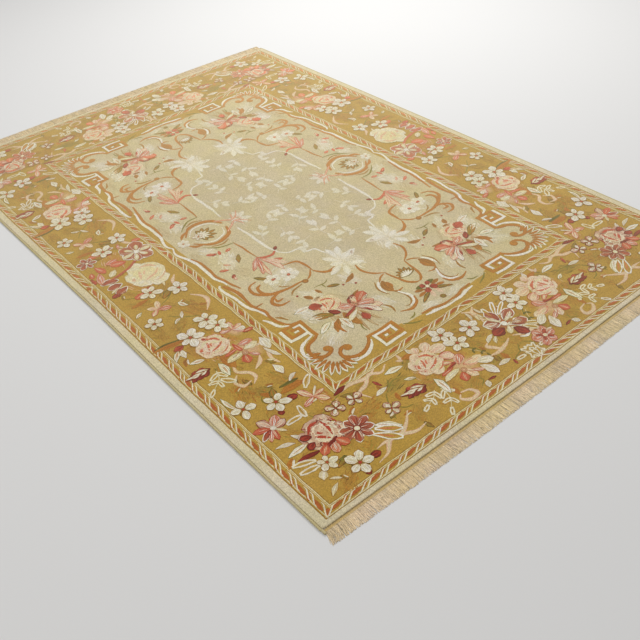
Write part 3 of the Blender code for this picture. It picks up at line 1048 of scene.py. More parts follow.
# %% The bunch in the middle of each long side
# columns: x, y, length, width, turn, look
SIDE_PETALS = [
    # the large cream rose's foot of dark petals, then the coral flowers beside it
    (30, -815, 55, 34, -110, "mauve"), (60, -815, 60, 36, -90, "mauve"),
    (90, -810, 55, 34, -70, "mauve"), (110, -840, 45, 24, -80, "burgundy"),
    (20, -845, 35, 20, -100, "mauve"), (70, -835, 45, 14, -60, "ivory"),
    (-60, -735, 60, 40, -110, "coral"), (-100, -750, 50, 26, -85, "coral_white"),
    (-105, -840, 60, 28, 12, "coral"), (-60, -850, 75, 30, -18, "coral_white"),
    (-40, -790, 50, 26, -50, "ivory"), (-45, -890, 40, 14, 0, "red"),
    (-80, -870, 36, 20, -20, "coral"), (-150, -775, 40, 26, -110, "olive_brown"),
    (-185, -720, 55, 16, -100, "mauve"), (-195, -695, 40, 12, -20, "coral_white"),
    (-170, -640, 35, 22, 80, "coral"),
]
for *sizes, turn, look in SIDE_PETALS:
    blade(flowers, *metres(*sizes), turn, look, 1, copies=HALF_TURN)
stroke(flowers, path(-50, -685, -22, -730, 0, -785, 14, -850), 0.013, MAUVE, 2, (0.9, 0.5), RED,
       HALF_TURN)
petals(flowers, -0.088, -0.668, 0.140, 35, 6, "mauve", 2.2, wide=0.36, copies=HALF_TURN)
petals(flowers, -0.088, -0.668, 0.120, 35, 6, "ivory", 3.4, wide=0.17, inner=0.10,
       copies=HALF_TURN)
disc(flowers, -0.088, -0.668, 0.011, WHITE, WHITE, 4.6, HALF_TURN)
daisy(flowers, -0.155, -0.850, 0.082, 10, 6, level=3, copies=HALF_TURN)
rose(flowers, 0.068, -0.714, 0.176, 15, "cream_rose", "cream_rose", 1, HALF_TURN, 0.15, PINK)
print("with the long sides' bunches:", flowers.drawn, "patches")

# %% [markdown]
# Each short end has a dark mauve flower with pale inner petals, a curl of white and a coral
# flower beside it. They are turned in the same way.

# %% The bunch in the middle of each end
# columns: x, y, length, width, turn, look
END_PETALS = [
    (1185, 55, 62, 44, 110, "mauve"), (1220, 55, 62, 44, 75, "mauve"),
    (1235, 45, 55, 36, 20, "burgundy"), (1215, 20, 55, 44, -85, "burgundy"),
    (1190, 30, 60, 42, -115, "mauve"), (1180, 40, 62, 36, 190, "mauve"),
    (1195, 50, 58, 20, 112, "ivory"), (1215, 55, 50, 24, 72, "ivory"),
    (1190, 35, 55, 20, 205, "ivory"), (1185, 20, 50, 20, -110, "veined"),
    (1215, 40, 45, 20, -35, "ivory"), (1145, 50, 62, 9, 142, "quill"),
    (1152, 62, 66, 9, 118, "quill"), (1160, 30, 60, 11, 172, "quill"),
    (1240, 85, 55, 10, 50, "gilt"), (1255, 80, 45, 10, 30, "gilt"),
]
stain(flowers, 1.200, 0.040, 0.130, 0.100, 20, MAUVE, GOLD, 0.9, -2, HALF_TURN)
for *sizes, turn, look in END_PETALS:
    blade(flowers, *metres(*sizes), turn, look, 1, copies=HALF_TURN)
disc(flowers, 1.200, 0.038, 0.011, WHITE, WHITE, 3, HALF_TURN)
stroke(flowers, path(1245, 70, 1275, 68, 1292, 45, 1280, 25), 0.012, WHITE, 1, (0.4, 0.3),
       copies=HALF_TURN)
petals(flowers, 1.333, 0.085, 0.090, 20, 6, "coral_white", 1, wide=0.34, copies=HALF_TURN)
petals(flowers, 1.333, 0.085, 0.055, 45, 4, "red", 2, wide=0.22, copies=HALF_TURN)
disc(flowers, 1.333, 0.088, 0.008, CREAM, PALE_PINK, 3, HALF_TURN)
print("with the ends' bunches:", flowers.drawn, "patches")

# %% [markdown]
# Inside the inner guard the beige field has a drawn outline: rust inside, white outside, wavy
# along the sides. At each corner it breaks into two square keys, joined by scrolls that curl
# towards each other round a fan of pointed leaves.

# %% The field's outline
scrolls = Cartoon("field_scrolls")

# points along each line
WHITE_LINES = [
    (0, -550, 30, -561, 70, -557, 120, -543, 200, -540, 275, -542, 330, -529, 352, -528),
    (335, -552, 360, -562, 450, -556, 520, -552, 560, -533, 605, -527),
    (612, -554, 640, -540, 680, -532, 698, -505),
    (793, -478, 803, -517, 828, -549, 865, -560, 900, -552),
    (946, -346, 978, -372, 995, -410, 994, -448, 980, -474),
    (984, -120, 990, -80, 1000, -35, 1003, 0),
]
RUST_LINES = [
    (110, -536, 180, -526, 275, -529, 330, -519, 405, -506),
    (350, -546, 420, -529, 510, -536, 536, -530, 580, -518, 612, -523, 655, -520, 690, -503, 703,
     -470),
    (968, -125, 974, -80, 986, -35, 989, 0),
]
# each corner scroll thickens as it curls into its round end
CURLS = [
    (800, -463, 812, -482, 820, -512, 845, -536, 878, -540, 902, -520, 904, -492, 888, -474, 872,
     -480),
    (930, -345, 957, -366, 976, -398, 977, -440, 958, -468, 930, -468, 912, -448, 916, -428, 930,
     -424),
]
for knots in WHITE_LINES:
    stroke(scrolls, path(*knots), 0.0120, WHITE, 1, (0.5, 0.5))
for knots in RUST_LINES:
    stroke(scrolls, path(*knots), 0.0120, TERRACOTTA, 2, (0.6, 0.6), RUST)
for knots in CURLS:
    stroke(scrolls, path(*knots), 0.0150, TERRACOTTA, 2, (0.7, 1), RUST)
for x, y in ((0.880, -0.482), (0.924, -0.430)):
    disc(scrolls, x, y, 0.0150, TERRACOTTA, TERRACOTTA, 3)
    hatching(scrolls, x, y, 0.030, 0.026, 40, "terracotta", 3.4)
stroke(scrolls, path(345, -546, 380, -534, 440, -529, 500, -536), 0.0150, TERRACOTTA, 3, (0.5,
       0.6), RUST)
stroke(scrolls, path(536, -530, 533, -495), 0.006, RUST, 3, (1, 0.4))
stroke(scrolls, path(630, -512, 650, -495, 672, -488), 0.012, SOFT_BROWN, 1, (0.3, 0.3))
print("outline:", scrolls.drawn, "patches in a quarter")

# %% [markdown]
# The two square keys of a corner are straight bars with true corners, which a smooth curve would
# round off. Rust bars turn inwards with white ones beside them and a small white square in the
# middle. Between the keys a fan of leaves droops to both sides.

# %% Square keys and the leaf fan
bars(scrolls, path(800, -464, 706, -464, 706, -537, 758, -537, 758, -490, 728, -490, 728, -514),
     0.0125, TERRACOTTA, 3)
bars(scrolls, path(790, -478, 718, -478, 718, -500), 0.0085, WHITE, 4)
bars(scrolls, path(712, -552, 772, -552, 772, -482), 0.0125, WHITE, 4)
bars(scrolls, path(743, -503, 743, -512), 0.0090, WHITE, 5)
bars(scrolls, path(930, -345, 930, -235, 986, -235, 986, -312, 950, -312, 950, -276, 966, -276),
     0.0125, TERRACOTTA, 3)
bars(scrolls, path(970, -251, 942, -251, 942, -328, 1003, -328, 1003, -240), 0.0105, WHITE, 4)
bars(scrolls, path(967, -292, 967, -296), 0.0110, WHITE, 5)

# the leaf fan: white lobes with rust over them
FAN_LOBES = 11
for number in range(FAN_LOBES):
    part = number / (FAN_LOBES - 1) * 2 - 1
    angle = -47 + 82 * part
    way = math.radians(angle)
    root = (0.908 + 0.046 * math.cos(way) + 0.004, -0.486 + 0.036 * math.sin(way))
    reach = 0.066 - 0.016 * abs(part)
    blade(scrolls, *root, reach, 0.0185, angle, "veined", 1, bend=34 * part, full=0.7, late=1.1)
    blade(scrolls, *root, reach * 0.78, 0.0100, angle + 2, "terracotta", 2, bend=34 * part,
          full=0.8, late=0.8)
stroke(scrolls, path(966, -212, 985, -182, 998, -148), 0.007, OLIVE, 2, (0.5, 0.3))
stroke(scrolls, path(945, -138, 960, -152, 963, -178), 0.006, OLIVE, 2, (0.5, 0.3))
print("outline and keys:", scrolls.drawn, "patches in a quarter")

# %% [markdown]
# Rust scrolls divide the field into compartments: a ring round each palmette, a double scroll
# beside it, and an arch over the small fan at each end. They are all strokes, thick where the
# weaver used more rows of knots.

# %% Scrollwork inside the field
# columns: yarn, width, points along the stroke
FIELD_STROKES = [
    # the ring round each palmette, open above and below, and the line that leaves it
    (TERRACOTTA, 19, (16, -300, 62, -322, 86, -372, 80, -425, 30, -470)),
    (WHITE, 7, (10, -318, 48, -335, 68, -378, 62, -420, 22, -456)),
    (OLIVE, 7, (134, -350, 128, -400, 108, -432, 78, -462)),
    (TERRACOTTA, 8, (135, -352, 200, -345, 290, -340)),
    (TERRACOTTA, 14, (64, -448, 52, -474, 28, -492)),
    (SOFT_BROWN, 7, (98, -350, 110, -390, 98, -430)),
    # double scroll beside the ring
    (TERRACOTTA, 11, (400, -306, 415, -250, 455, -238, 505, -236)),
    (TERRACOTTA, 14, (505, -236, 540, -216, 553, -180, 540, -138)),
    (TERRACOTTA, 8, (490, -240, 520, -262, 535, -290)),
    (TERRACOTTA, 15, (532, -300, 530, -360, 522, -410, 505, -452, 470, -488, 425, -480, 408, -440)),
    (TERRACOTTA, 13, (437, -440, 450, -462, 480, -464, 503, -442)),
    (TERRACOTTA, 15, (522, -390, 528, -440, 556, -470, 588, -452, 590, -415)),
    (TERRACOTTA, 11, (540, -448, 562, -448, 560, -422)),
    (SOFT_BROWN, 8, (545, -320, 552, -365, 572, -392)),
    (SOFT_BROWN, 6, (520, -360, 505, -385, 485, -395)),
    # arch over the small palmette at each end
    (TERRACOTTA, 10, (585, -100, 635, -110, 680, -86, 705, -52)),
    (TERRACOTTA, 11, (705, -52, 760, -44, 805, -32, 830, -12, 832, 0)),
    (TERRACOTTA, 8, (708, -60, 716, -85, 735, -108)),
    (TERRACOTTA, 8, (808, -108, 820, -90, 815, -66)),
    # the reversed scroll by the end
    (SOFT_BROWN, 6, (810, -108, 850, -92, 885, -98, 905, -118, 900, -140)),
    (WHITE, 12, (820, -98, 865, -82, 900, -95, 912, -125)),
    (TERRACOTTA, 13, (878, -76, 910, -92, 925, -130, 912, -172)),
    (SOFT_BROWN, 9, (840, -190, 870, -178, 902, -184)),
    (WHITE, 12, (730, -110, 760, -128, 800, -132)),
    (SOFT_BROWN, 7, (725, -122, 765, -140, 815, -130)),
    (OLIVE, 5, (845, -305, 878, -325, 905, -325)), (OLIVE, 4.5, (585, -235, 595, -262, 592, -305)),
    (OLIVE, 4.5, (592, -272, 620, -270)),
]
for colour, width, knots in FIELD_STROKES:
    edge = RUST if colour is TERRACOTTA else colour
    stroke(scrolls, path(*knots), width / MILLIMETRES, colour, 2, (0.45, 0.3), edge)
disc(scrolls, 0.538, -0.300, 0.013, TERRACOTTA, BROWN, 3)
print("with the inner scrollwork:", scrolls.drawn, "patches in a quarter")

# %% [markdown]
# Flowers are sparser in the field, and the beige ground is lit round them: white haze behind a
# flower, faint fawn shade beside it. It is hatched in the same way as the gold border.

# %% Light and shade on the field
bouquets = Cartoon("field_flowers", base=1)

# columns: x, y, length, width, heading, shade
FIELD_SHADES = [
    (450, -350, 150, 110, -75, "mist"), (225, -440, 130, 80, -20, "mist"),
    (120, -460, 100, 60, 20, "mist"), (540, -110, 170, 110, 20, "mist"),
    (840, -410, 130, 90, -50, "mist"), (620, -340, 110, 60, 20, "mist"),
    (640, -170, 100, 60, 20, "mist"), (820, -180, 110, 70, 20, "mist"),
    (955, -60, 100, 40, 80, "mist"), (700, -420, 120, 60, 10, "mist"),
    (320, -440, 100, 60, 30, "fawn"), (740, -300, 200, 120, 20, "fawn"),
    (560, -440, 110, 60, 20, "fawn"), (870, -260, 110, 60, 30, "fawn"),
    (150, -510, 130, 30, 5, "fawn"), (420, -270, 120, 50, 10, "fawn"),
    (640, -480, 110, 30, 10, "fawn"), (780, -345, 110, 55, -5, "brown"),
]
for *sizes, heading, shade in FIELD_SHADES:
    hatching(bouquets, *metres(*sizes), heading, shade, 0.5, ground=BEIGE,
             share=0.3 if shade == "fawn" else 0.9)
print(len(FIELD_SHADES), "lit or shaded places in a quarter")

# %% [markdown]
# The field's leaves are one table again: the white acanthus that points to the middle, the red
# acanthus beside the scroll, the leaves of the bouquet, and sprigs in the gaps.

# %% The field's leaves
# columns: x, y, length, width, turn, bend, look
FIELD_LEAVES = [
    # white acanthus burst that points to the middle
    (530, -110, 90, 34, 150, -30, "milk"), (535, -105, 80, 34, 108, -20, "milk"),
    (530, -120, 95, 30, 180, 20, "milk"), (545, -120, 85, 30, 215, 20, "milk"),
    (560, -115, 65, 30, 60, 20, "milk"), (565, -125, 65, 28, -30, 10, "milk"),
    (555, -135, 75, 28, -72, 10, "milk"), (540, -118, 60, 40, 130, 10, "milk"),
    (548, -118, 55, 36, 250, 10, "milk"), (508, -40, 42, 14, -55, 10, "brown"),
    # red acanthus beside the scroll: long lobes that curl
    (300, -336, 125, 26, 8, -30, "blush"), (310, -330, 100, 24, 34, 20, "pale"),
    (290, -345, 110, 22, -26, -20, "coral_white"), (285, -345, 85, 20, -44, -10, "coral_white"),
    (340, -312, 45, 15, 62, 20, "coral"), (320, -345, 100, 18, -12, 30, "blush"),
    (294, -262, 24, 12, 130, 0, "burgundy"),
    # bouquet in each quarter
    (775, -320, 90, 34, 8, 20, "brown"), (765, -350, 80, 24, -125, 10, "olive_brown"),
    (755, -345, 70, 26, -100, 10, "olive_brown"), (790, -355, 70, 22, -40, 10, "brown"),
    (672, -380, 75, 24, -98, 10, "olive_white"), (785, -385, 70, 26, -68, 20, "olive_white"),
    (745, -385, 55, 20, -112, 20, "olive_white"), (715, -195, 80, 14, -68, 10, "brown"),
    (640, -225, 45, 16, -115, 10, "olive_brown"), (625, -145, 60, 18, -68, -40, "brown"),
    (610, -365, 35, 16, 20, -30, "brown"), (650, -325, 35, 14, -80, 20, "brown"),
    (605, -310, 30, 12, 20, 30, "brown"),
    # sprigs and single leaves
    (215, -385, 55, 18, -28, 10, "olive_brown"), (385, -430, 55, 16, 35, 10, "olive_brown"),
    (160, -385, 26, 14, -80, 0, "coral"), (135, -480, 36, 14, 55, 0, "coral"),
    (155, -465, 20, 12, 100, 0, "red"), (262, -500, 34, 12, 60, 0, "coral"),
    (315, -470, 24, 14, -40, 0, "red"), (325, -478, 24, 10, -10, 0, "blush"),
    (170, -440, 30, 10, 160, 0, "coral"), (235, -465, 26, 9, 40, 0, "blush"),
    # brown crescent and small leaves under the end arch
    (735, -95, 75, 32, -8, 25, "brown"), (750, -88, 40, 18, -5, 20, "terracotta"),
    # small bunch near the end
    (880, -20, 40, 14, -105, 10, "brown"), (895, -25, 38, 14, -85, 10, "terracotta"),
    (905, -15, 65, 14, -65, 20, "olive_brown"), (865, -10, 34, 18, -100, 10, "olive"),
    (895, -10, 45, 16, -10, 10, "pale"),
]
for *sizes, turn, bend, look in FIELD_LEAVES:
    blade(bouquets, *metres(*sizes), turn, look, 1, bend, full=0.7, late=1)
stroke(bouquets, path(288, -343, 308, -318, 316, -290, 300, -266), 0.0125, CORAL, 2, (0.4, 0.5),
       RED)
blade(bouquets, 0.790, -0.350, 0.075, 0.030, -2, "olive_white", 2.2, -30, full=0.8, late=1)
blade(bouquets, 0.795, -0.368, 0.072, 0.012, -4, "terracotta", 2.2, 60, full=0.8, late=1)

print(len(FIELD_LEAVES), "leaves in a quarter")

# %% [markdown]
# On the rug's long axis and cross axis a motif is its own mirror image, so it is copied to two
# places instead of four. The palmettes, the branches that grow out of their rings, and the fan
# under each end arch are made of the same blades.

# %% Palmettes, branches and fans
# the palmette in each ring: lobes that open towards the middle of the rug
for lean, reach in ((0, 0.075), (26, 0.072), (-26, 0.072), (52, 0.062), (-52, 0.062), (80, 0.046),
                    (-80, 0.046)):
    blade(bouquets, 0.0, -0.424, reach, 0.017, 90 + lean, "olive_brown", 1, bend=lean * 0.6,
          copies=BOTH_SIDES)
    blade(bouquets, 0.0, -0.420, reach * 0.6, 0.008, 90 + lean, "haze", 2, bend=lean * 0.5,
          copies=BOTH_SIDES)
blossom(bouquets, 0.0, -0.428, 0.044, 30, 5, "white", 3, BOTH_SIDES)
blossom(bouquets, 0.0, -0.500, 0.050, 30, 6, "haze", 2, BOTH_SIDES)

# branches like small antlers grow out of each ring, meet and part again
for knots, width in (
    (path(52, -318, 30, -285, 8, -255, 20, -228, 56, -200), 0.0085),
    (path(12, -250, 30, -240, 56, -236), 0.0060), (path(8, -262, 10, -240, 6, -215), 0.0050),
):
    stroke(bouquets, knots, width, blend(PINK, CORAL, 0.9), 1, (0.8, 0.3))
    stroke(bouquets, knots, width * 0.25, PALE_PINK, 1.5, (0.8, 0.3))

# the fan under each end arch
for lean in (0, 24, -24, 48, -48, 72, -72):
    blade(bouquets, 0.782, 0.0, 0.058 - abs(lean) * 0.0002, 0.014, 180 + lean, "olive_brown", 1,
          bend=lean * 0.5, copies=BOTH_ENDS)
    blade(bouquets, 0.778, 0.0, 0.030, 0.006, 180 + lean, "haze", 2, copies=BOTH_ENDS)

print("with palmettes and fans:", bouquets.drawn, "patches")

# %% [markdown]
# The bouquet in each quarter is the field's one rich spot: a pale rose, a coral flower with dark
# petals, and golden plumes. White flowers stand in the double scroll beside it.

# %% The bouquets
# white flowers in the double scroll
for x, y, size in ((0.462, -0.322, 0.078), (0.446, -0.385, 0.068)):
    petals(bouquets, x, y, size, 900 * size, 6, "haze", 1, wide=0.34)
    disc(bouquets, x, y, size * 0.10, CORAL, MAUVE, 3)

# the bouquet's rose, its coral flower and the red petal beside it
for x, y, length, width, heading, colour in (
    (0.775, -0.250, 0.120, 0.095, 40, CORAL), (0.705, -0.330, 0.150, 0.120, 20, PALE_PINK),
):
    stain(bouquets, x, y, length, width, heading, colour, BEIGE, 0.8, 0.3)
rose(bouquets, 0.702, -0.332, 0.112, 20, "pale", "pale", 1, shade=CORAL)
for *sizes, turn, look in (
   (692, -350, 50, 40, -112, "red"), (735, -355, 45, 22, 40, "burgundy"),
    (765, -240, 62, 42, 120, "coral"), (775, -250, 62, 34, 70, "coral_white"),
    (780, -260, 72, 26, 40, "inked"), (772, -262, 60, 36, -120, "coral_white"),
    (768, -250, 50, 30, 170, "blush"), (790, -265, 80, 20, -62, "ivory"),
    (800, -235, 60, 34, 55, "blush"), (805, -228, 60, 24, 15, "inked"),
    (778, -262, 70, 12, -72, "red"), (730, -262, 34, 13, 100, "burgundy"),
    (745, -300, 40, 16, 60, "coral_white"), (760, -275, 40, 14, 150, "red"),
    (820, -272, 44, 30, -5, "red"), (768, -232, 46, 12, 102, "white"),
    (786, -246, 55, 10, 58, "burgundy"), (800, -250, 40, 9, 24, "red"),
):
    blade(bouquets, *metres(*sizes), turn, look, 6.5)
# long golden plumes beside the bouquet
for x, y, length, turn, bend in (
    (0.800, -0.290, 0.110, -12, 20), (0.810, -0.280, 0.100, 2, 16), (0.805, -0.268, 0.085, 16, 10),
):
    blade(bouquets, x, y, length, 0.010, turn, "plume", 0.6, bend, full=0.8, late=0.8)
for x, y in ((0.680, -0.175), (0.652, -0.215), (0.590, -0.380), (0.447, -0.378)):
    disc(bouquets, x, y, 0.0050, BURGUNDY, RED, 2)
petals(bouquets, 0.876, 0.000, 0.070, 45, 4, "red", 2, wide=0.32, copies=BOTH_ENDS)
disc(bouquets, 0.876, 0.000, 0.008, WHITE, CREAM, 4, BOTH_ENDS)
disc(bouquets, 0.955, 0.003, 0.012, OLIVE, BROWN, 2, BOTH_ENDS)
print("field flowers:", bouquets.drawn, "patches in a quarter")

# %% [markdown]
# The medallion in the middle is the quietest part: a white lobed line and scattered sprigs of
# leaves, barely lighter than the ground, like the figure in a damask.

# %% The medallion's line and damask sprigs
damask = Cartoon("medallion_damask")
# points along a quarter of the line
MEDALLION_LINE = path(
   60, -276, 150, -272, 250, -270, 315, -262, 345, -235, 356, -192, 392, -176, 402, -145,
    440, -132, 515, -112, 545, -60, 550, 0
)
for part, width in ((MEDALLION_LINE[:4], 0.0135), (MEDALLION_LINE[3:10], 0.0095)):
    stroke(damask, part, width, WHITE, 1, (0.6, 0.5), blend(MEDALLION, WHITE, 0.6))
SPRIG_SPACING = 0.122
MEDALLION_MARGIN = 0.032
MEDALLION_REACH = 0.50
# leaves of a sprig: where on the stem, which way each leans, and its length
SPRIG_LEAVES = ((0.45, -58, 0.040), (0.60, 50, 0.048), (0.94, -32, 0.044), (1, 20, 0.050))


def in_medallion(x, y):
    """Whether a quarter's place is well inside the medallion's line."""
    reach = np.interp(abs(x), [p[0] for p in MEDALLION_LINE], [-p[1] for p in MEDALLION_LINE])
    return abs(y) < reach - MEDALLION_MARGIN and abs(x) < MEDALLION_REACH


for row in range(3):
    for column in range(5):
        x = (column + 0.42 + 0.5 * (row % 2)) * SPRIG_SPACING + rng.uniform(-0.020, 0.020)
        y = -(row + 0.42) * SPRIG_SPACING * 0.80 + rng.uniform(-0.014, 0.014)
        if not in_medallion(x, y):
            continue
        turn = rng.uniform(0, 360)
        way = np.array([math.cos(math.radians(turn)), math.sin(math.radians(turn))])
        beside = np.array([-way[1], way[0]]) * rng.choice((-1, 1)) * rng.uniform(0.3, 1)
        stem = [(x, y) - way * 0.046, (x, y) + beside * 0.012, (x, y) + way * 0.040]
        stroke(damask, stem, 0.0034, blend(MEDALLION, WHITE, 0.45), 1, (0.4, 1))
        line = smooth_line(stem)
        for at, lean, reach in SPRIG_LEAVES:
            lean += rng.uniform(-18, 18)
            foot = line[int(at * (len(line) - 1))]
            blade(damask, *foot, reach * rng.uniform(0.75, 1.15), reach * 0.42, turn + lean,
                  "damask", 1, bend=lean * 0.2, full=0.8, late=0.95)
print("damask:", damask.drawn, "patches in a quarter")

# %% [markdown]
# The pile itself is one closed cloth with a soft rounded edge, so it lies on the floor with
# real thickness. Its grid follows the paper's rectangles, so the ivory band and the gold
# border change yarn exactly on a grid line. The curved field changes under the drawn outline.

# %% The ground's yarns
# points along a quarter of the beige field's edge
FIELD_EDGE = path(
   0, -545, 110, -538, 275, -534, 330, -524, 420, -540, 530, -540, 600, -524, 690, -510, 703, -464,
    800, -464, 815, -512, 845, -540, 900, -545, 968, -545, 982, -470, 984, -400, 956, -360,
    932, -340, 932, -236, 975, -205, 975, -110, 990, -30, 994, 0
)


def inside_quarter(x, y, edge):
    """Which places lie between the axes and a quarter's edge line, by crossing number."""
    ring = np.array([(0, 0), *edge])
    ring[:, 1] = -ring[:, 1]
    x, y = np.abs(x), np.abs(y)
    inside = np.zeros(x.shape, bool)
    for (x0, y0), (x1, y1) in zip(ring, np.roll(ring, -1, 0)):
        crosses = (y0 > y) != (y1 > y)
        with np.errstate(divide="ignore", invalid="ignore"):
            at = x0 + (y - y0) * (x1 - x0) / (y1 - y0)
        inside ^= crosses & (x < at)
    return inside

def ground_colour(x, y):
    """The ground yarn at the middle of each cell of the paper."""
    x, y = np.abs(x), np.abs(y)
    colour = np.broadcast_to(GOLD, (*x.shape, 3)).copy()
    colour[(x > IVORY_INNER[0]) | (y > IVORY_INNER[1])] = IVORY
    colour[inside_quarter(x, y, FIELD_EDGE)] = BEIGE
    colour[inside_quarter(x, y, [(0, -0.272), *MEDALLION_LINE])] = MEDALLION
    return colour

print("field edge:", len(FIELD_EDGE), "points in a quarter")

# %% [markdown]
# The cloth is built from the paper's grid: the same points serve as the pile's face, sunk a
# little towards the rim for the rounded edge, and as the flat back, and a ring of walls closes
# them. The back shows the same ground yarns, as a knotted rug's back does.

# %% The pile's cloth
CELL = 0.0125
EDGE_INSETS = (0.0, 0.0004, 0.0012, 0.0024, 0.0045)
ROUNDING = 0.0024
SWELL_FADE = 0.02


def paper_lines(half, bands):
    """Grid lines from -half to half: close together at the rim, and one on each band."""
    inner = half - max(EDGE_INSETS)
    fixed = sorted({0.0, *bands, inner})
    lines = [0.0]
    for low, high in zip(fixed, fixed[1:]):
        count = max(1, round((high - low) / CELL))
        lines += list(np.linspace(low, high, count + 1)[1:])
    lines += [half - inset for inset in sorted(EDGE_INSETS[:-1], reverse=True)]
    lines = np.array(lines)
    return np.concatenate([-lines[:0:-1], lines])


u_lines = paper_lines(HALF_LONG, (IVORY_INNER[0], INNER_LINE[0]))
v_lines = paper_lines(HALF_WIDE, (IVORY_INNER[1], INNER_LINE[1]))
paper = np.stack(np.meshgrid(u_lines, v_lines, indexing="ij"), -1)
columns, rows = len(u_lines), len(v_lines)
laid = lay(paper.reshape(-1, 2))
from_rim = np.minimum(HALF_LONG - np.abs(paper[..., 0]), HALF_WIDE - np.abs(paper[..., 1]))
from_rim = from_rim.ravel()
drop = ROUNDING - np.sqrt(np.maximum(ROUNDING**2 - np.maximum(ROUNDING - from_rim, 0) ** 2, 0))
lift = swell(*laid.T) * np.minimum(from_rim / SWELL_FADE, 1)
top = np.column_stack([laid, PILE_TOP - drop + lift])
under = np.column_stack([laid, np.zeros(len(laid))])
index = np.arange(columns * rows).reshape(columns, rows)
quads = np.stack([index[:-1, :-1], index[1:, :-1], index[1:, 1:], index[:-1, 1:]], -1)
quads = quads.reshape(-1, 4)
border_loop = np.concatenate([index[:-1, 0], index[-1, :-1], index[:0:-1, -1], index[0, :0:-1]])
after = np.roll(border_loop, -1)
walls = np.stack([border_loop + columns * rows, after + columns * rows, after, border_loop], 1)
faces = np.vstack([quads, quads[:, ::-1] + columns * rows, walls])

cell_middle = (paper[:-1, :-1] + paper[1:, 1:]) / 2
cell_colour = ground_colour(cell_middle[..., 0], cell_middle[..., 1]).reshape(-1, 3)
face_colour = np.vstack([cell_colour, cell_colour, np.broadcast_to(IVORY, (len(walls), 3))])
print("pile grid", columns, "x", rows, "lines,", len(faces), "faces")

# %% [markdown]
# Every piece of the rug is made in the same way: arrays of points and faces go straight into a
# mesh, which is much quicker than adding faces one by one, and the yarn colours, with painted
# shade in some pieces, are kept on it as an attribute that the material reads.

# %% From arrays to dyed meshes


def new_piece(name, points, faces, material, smooth=False):
    """A mesh object from arrays of points and four-sided faces."""
    mesh = bpy.data.meshes.new(name)
    mesh.vertices.add(len(points))
    mesh.vertices.foreach_set("co", np.asarray(points, np.float32).ravel())
    mesh.loops.add(faces.size)
    mesh.loops.foreach_set("vertex_index", faces.astype(np.int32).ravel())
    mesh.polygons.add(len(faces))
    mesh.polygons.foreach_set("loop_start", np.arange(len(faces), dtype=np.int32) * faces.shape[1])
    mesh.update(calc_edges=True)
    mesh.validate()
    if smooth:
        mesh.shade_smooth()
    mesh.materials.append(material)
    piece = bpy.data.objects.new(name, mesh)
    bpy.context.scene.collection.objects.link(piece)
    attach(piece, "root")
    return piece


def dye_and_painted_shade(piece, colours, domain):
    """Keep the yarn colours on the mesh, one for each point or face corner."""
    # some pieces' colours hold painted shade: the selvedges, woven strips and fringe darken low
    # places
    colours = np.asarray(colours)
    attribute = piece.data.color_attributes.new("yarn", "FLOAT_COLOR", domain)
    full = np.column_stack([colours, np.ones(len(colours))]).astype(np.float32)
    attribute.data.foreach_set("color", full.ravel())


print("ready to make pieces")

# %% [markdown]
# A finish is a small network of nodes, and the same few joins come up again and again: noise
# stretched over the rug, a value spread to another range, values multiplied together. A helper
# for each keeps the finish itself readable.

# %% Helpers for finishes


def add_node(tree, kind, **settings):
    """A shader node with its settings and input values filled in."""
    node = tree.nodes.new(kind)
    for name, value in settings.items():
        if name in node.inputs:
            node.inputs[name].default_value = value
        else:
            setattr(node, name, value)
    return node


def spread(tree, value, low, high, from_low=0.25, from_high=0.75):
    """Stretch a node value to run from low to high."""
    node = add_node(tree, "ShaderNodeMapRange")
    for name, number in (("From Min", from_low), ("From Max", from_high), ("To Min", low),
                         ("To Max", high)):
        node.inputs[name].default_value = number
    tree.links.new(value, node.inputs["Value"])
    return node.outputs["Result"]


def stretched(tree, place, per_metre):
    """The rug's own coordinates, counted in cells."""
    mapping = add_node(tree, "ShaderNodeMapping", Scale=per_metre)
    tree.links.new(place.outputs["Object"], mapping.inputs["Vector"])
    return mapping.outputs["Vector"]


def cloud(tree, place, per_metre, low, high, detail=2.0):
    """Soft noise between low and high, with so many clouds to the metre."""
    noise = add_node(tree, "ShaderNodeTexNoise", Scale=1.0, Detail=detail)
    tree.links.new(stretched(tree, place, per_metre), noise.inputs["Vector"])
    return spread(tree, noise.outputs["Fac"], low, high)


def product(tree, *values):
    """Multiply some node values together."""
    total = values[0]
    for value in values[1:]:
        times = add_node(tree, "ShaderNodeMath", operation="MULTIPLY")
        tree.links.new(total, times.inputs[0])
        tree.links.new(value, times.inputs[1])
        total = times.outputs[0]
    return total


print("helpers for finishes ready")

# %% [markdown]
# Knotted silk looks soft because each knot's cut ends catch the light a little differently.
# The finish takes the yarn colour from the mesh and works on it: cells for single knots, each
# painted darker towards its rim as shade between the knots, fine noise, broad bands across the
# rug where the dye lot changes, and large pale and dark patches of painted sheen where the nap
# leans another way. Sheen gives the bloom at a low angle, and a small bump the rows of knots.
# A slow painted sheen also pales the silk towards the left end and the far side.

# %% The silk finish
# painted sheen: how much paler the silk is made from right to left and from near to far, in
# two shares and two places
SHEEN_PALER_ALONG = (0.13, 0.0, -1.2, 0.9)
SHEEN_PALER_ACROSS = (0.0, 0.07, -0.6, 0.9)
# where the painted sheen is strongest, dark yarns get a painted glow and are washed paler more
# than light ones: two amounts, and the yarn's green between which they hold
SHEEN_GLOW_WHERE_PALER = (0.0, 1.0, 0.03, 0.18)
DARK_YARN_SHEEN_GLOW = (1.2, 0.0, 0.02, 0.22)
DARK_YARN_SHEEN_WASH = (1.9, 1.0, 0.06, 0.34)
# the pale yarn that the painted sheen blends towards
PAINTED_SHEEN_YARN = yarn(208, 198, 162)
# the sockets of a Mix node for colours
MIX_SHARE, MIX_FROM, MIX_TO, MIXED = 0, 6, 7, 2


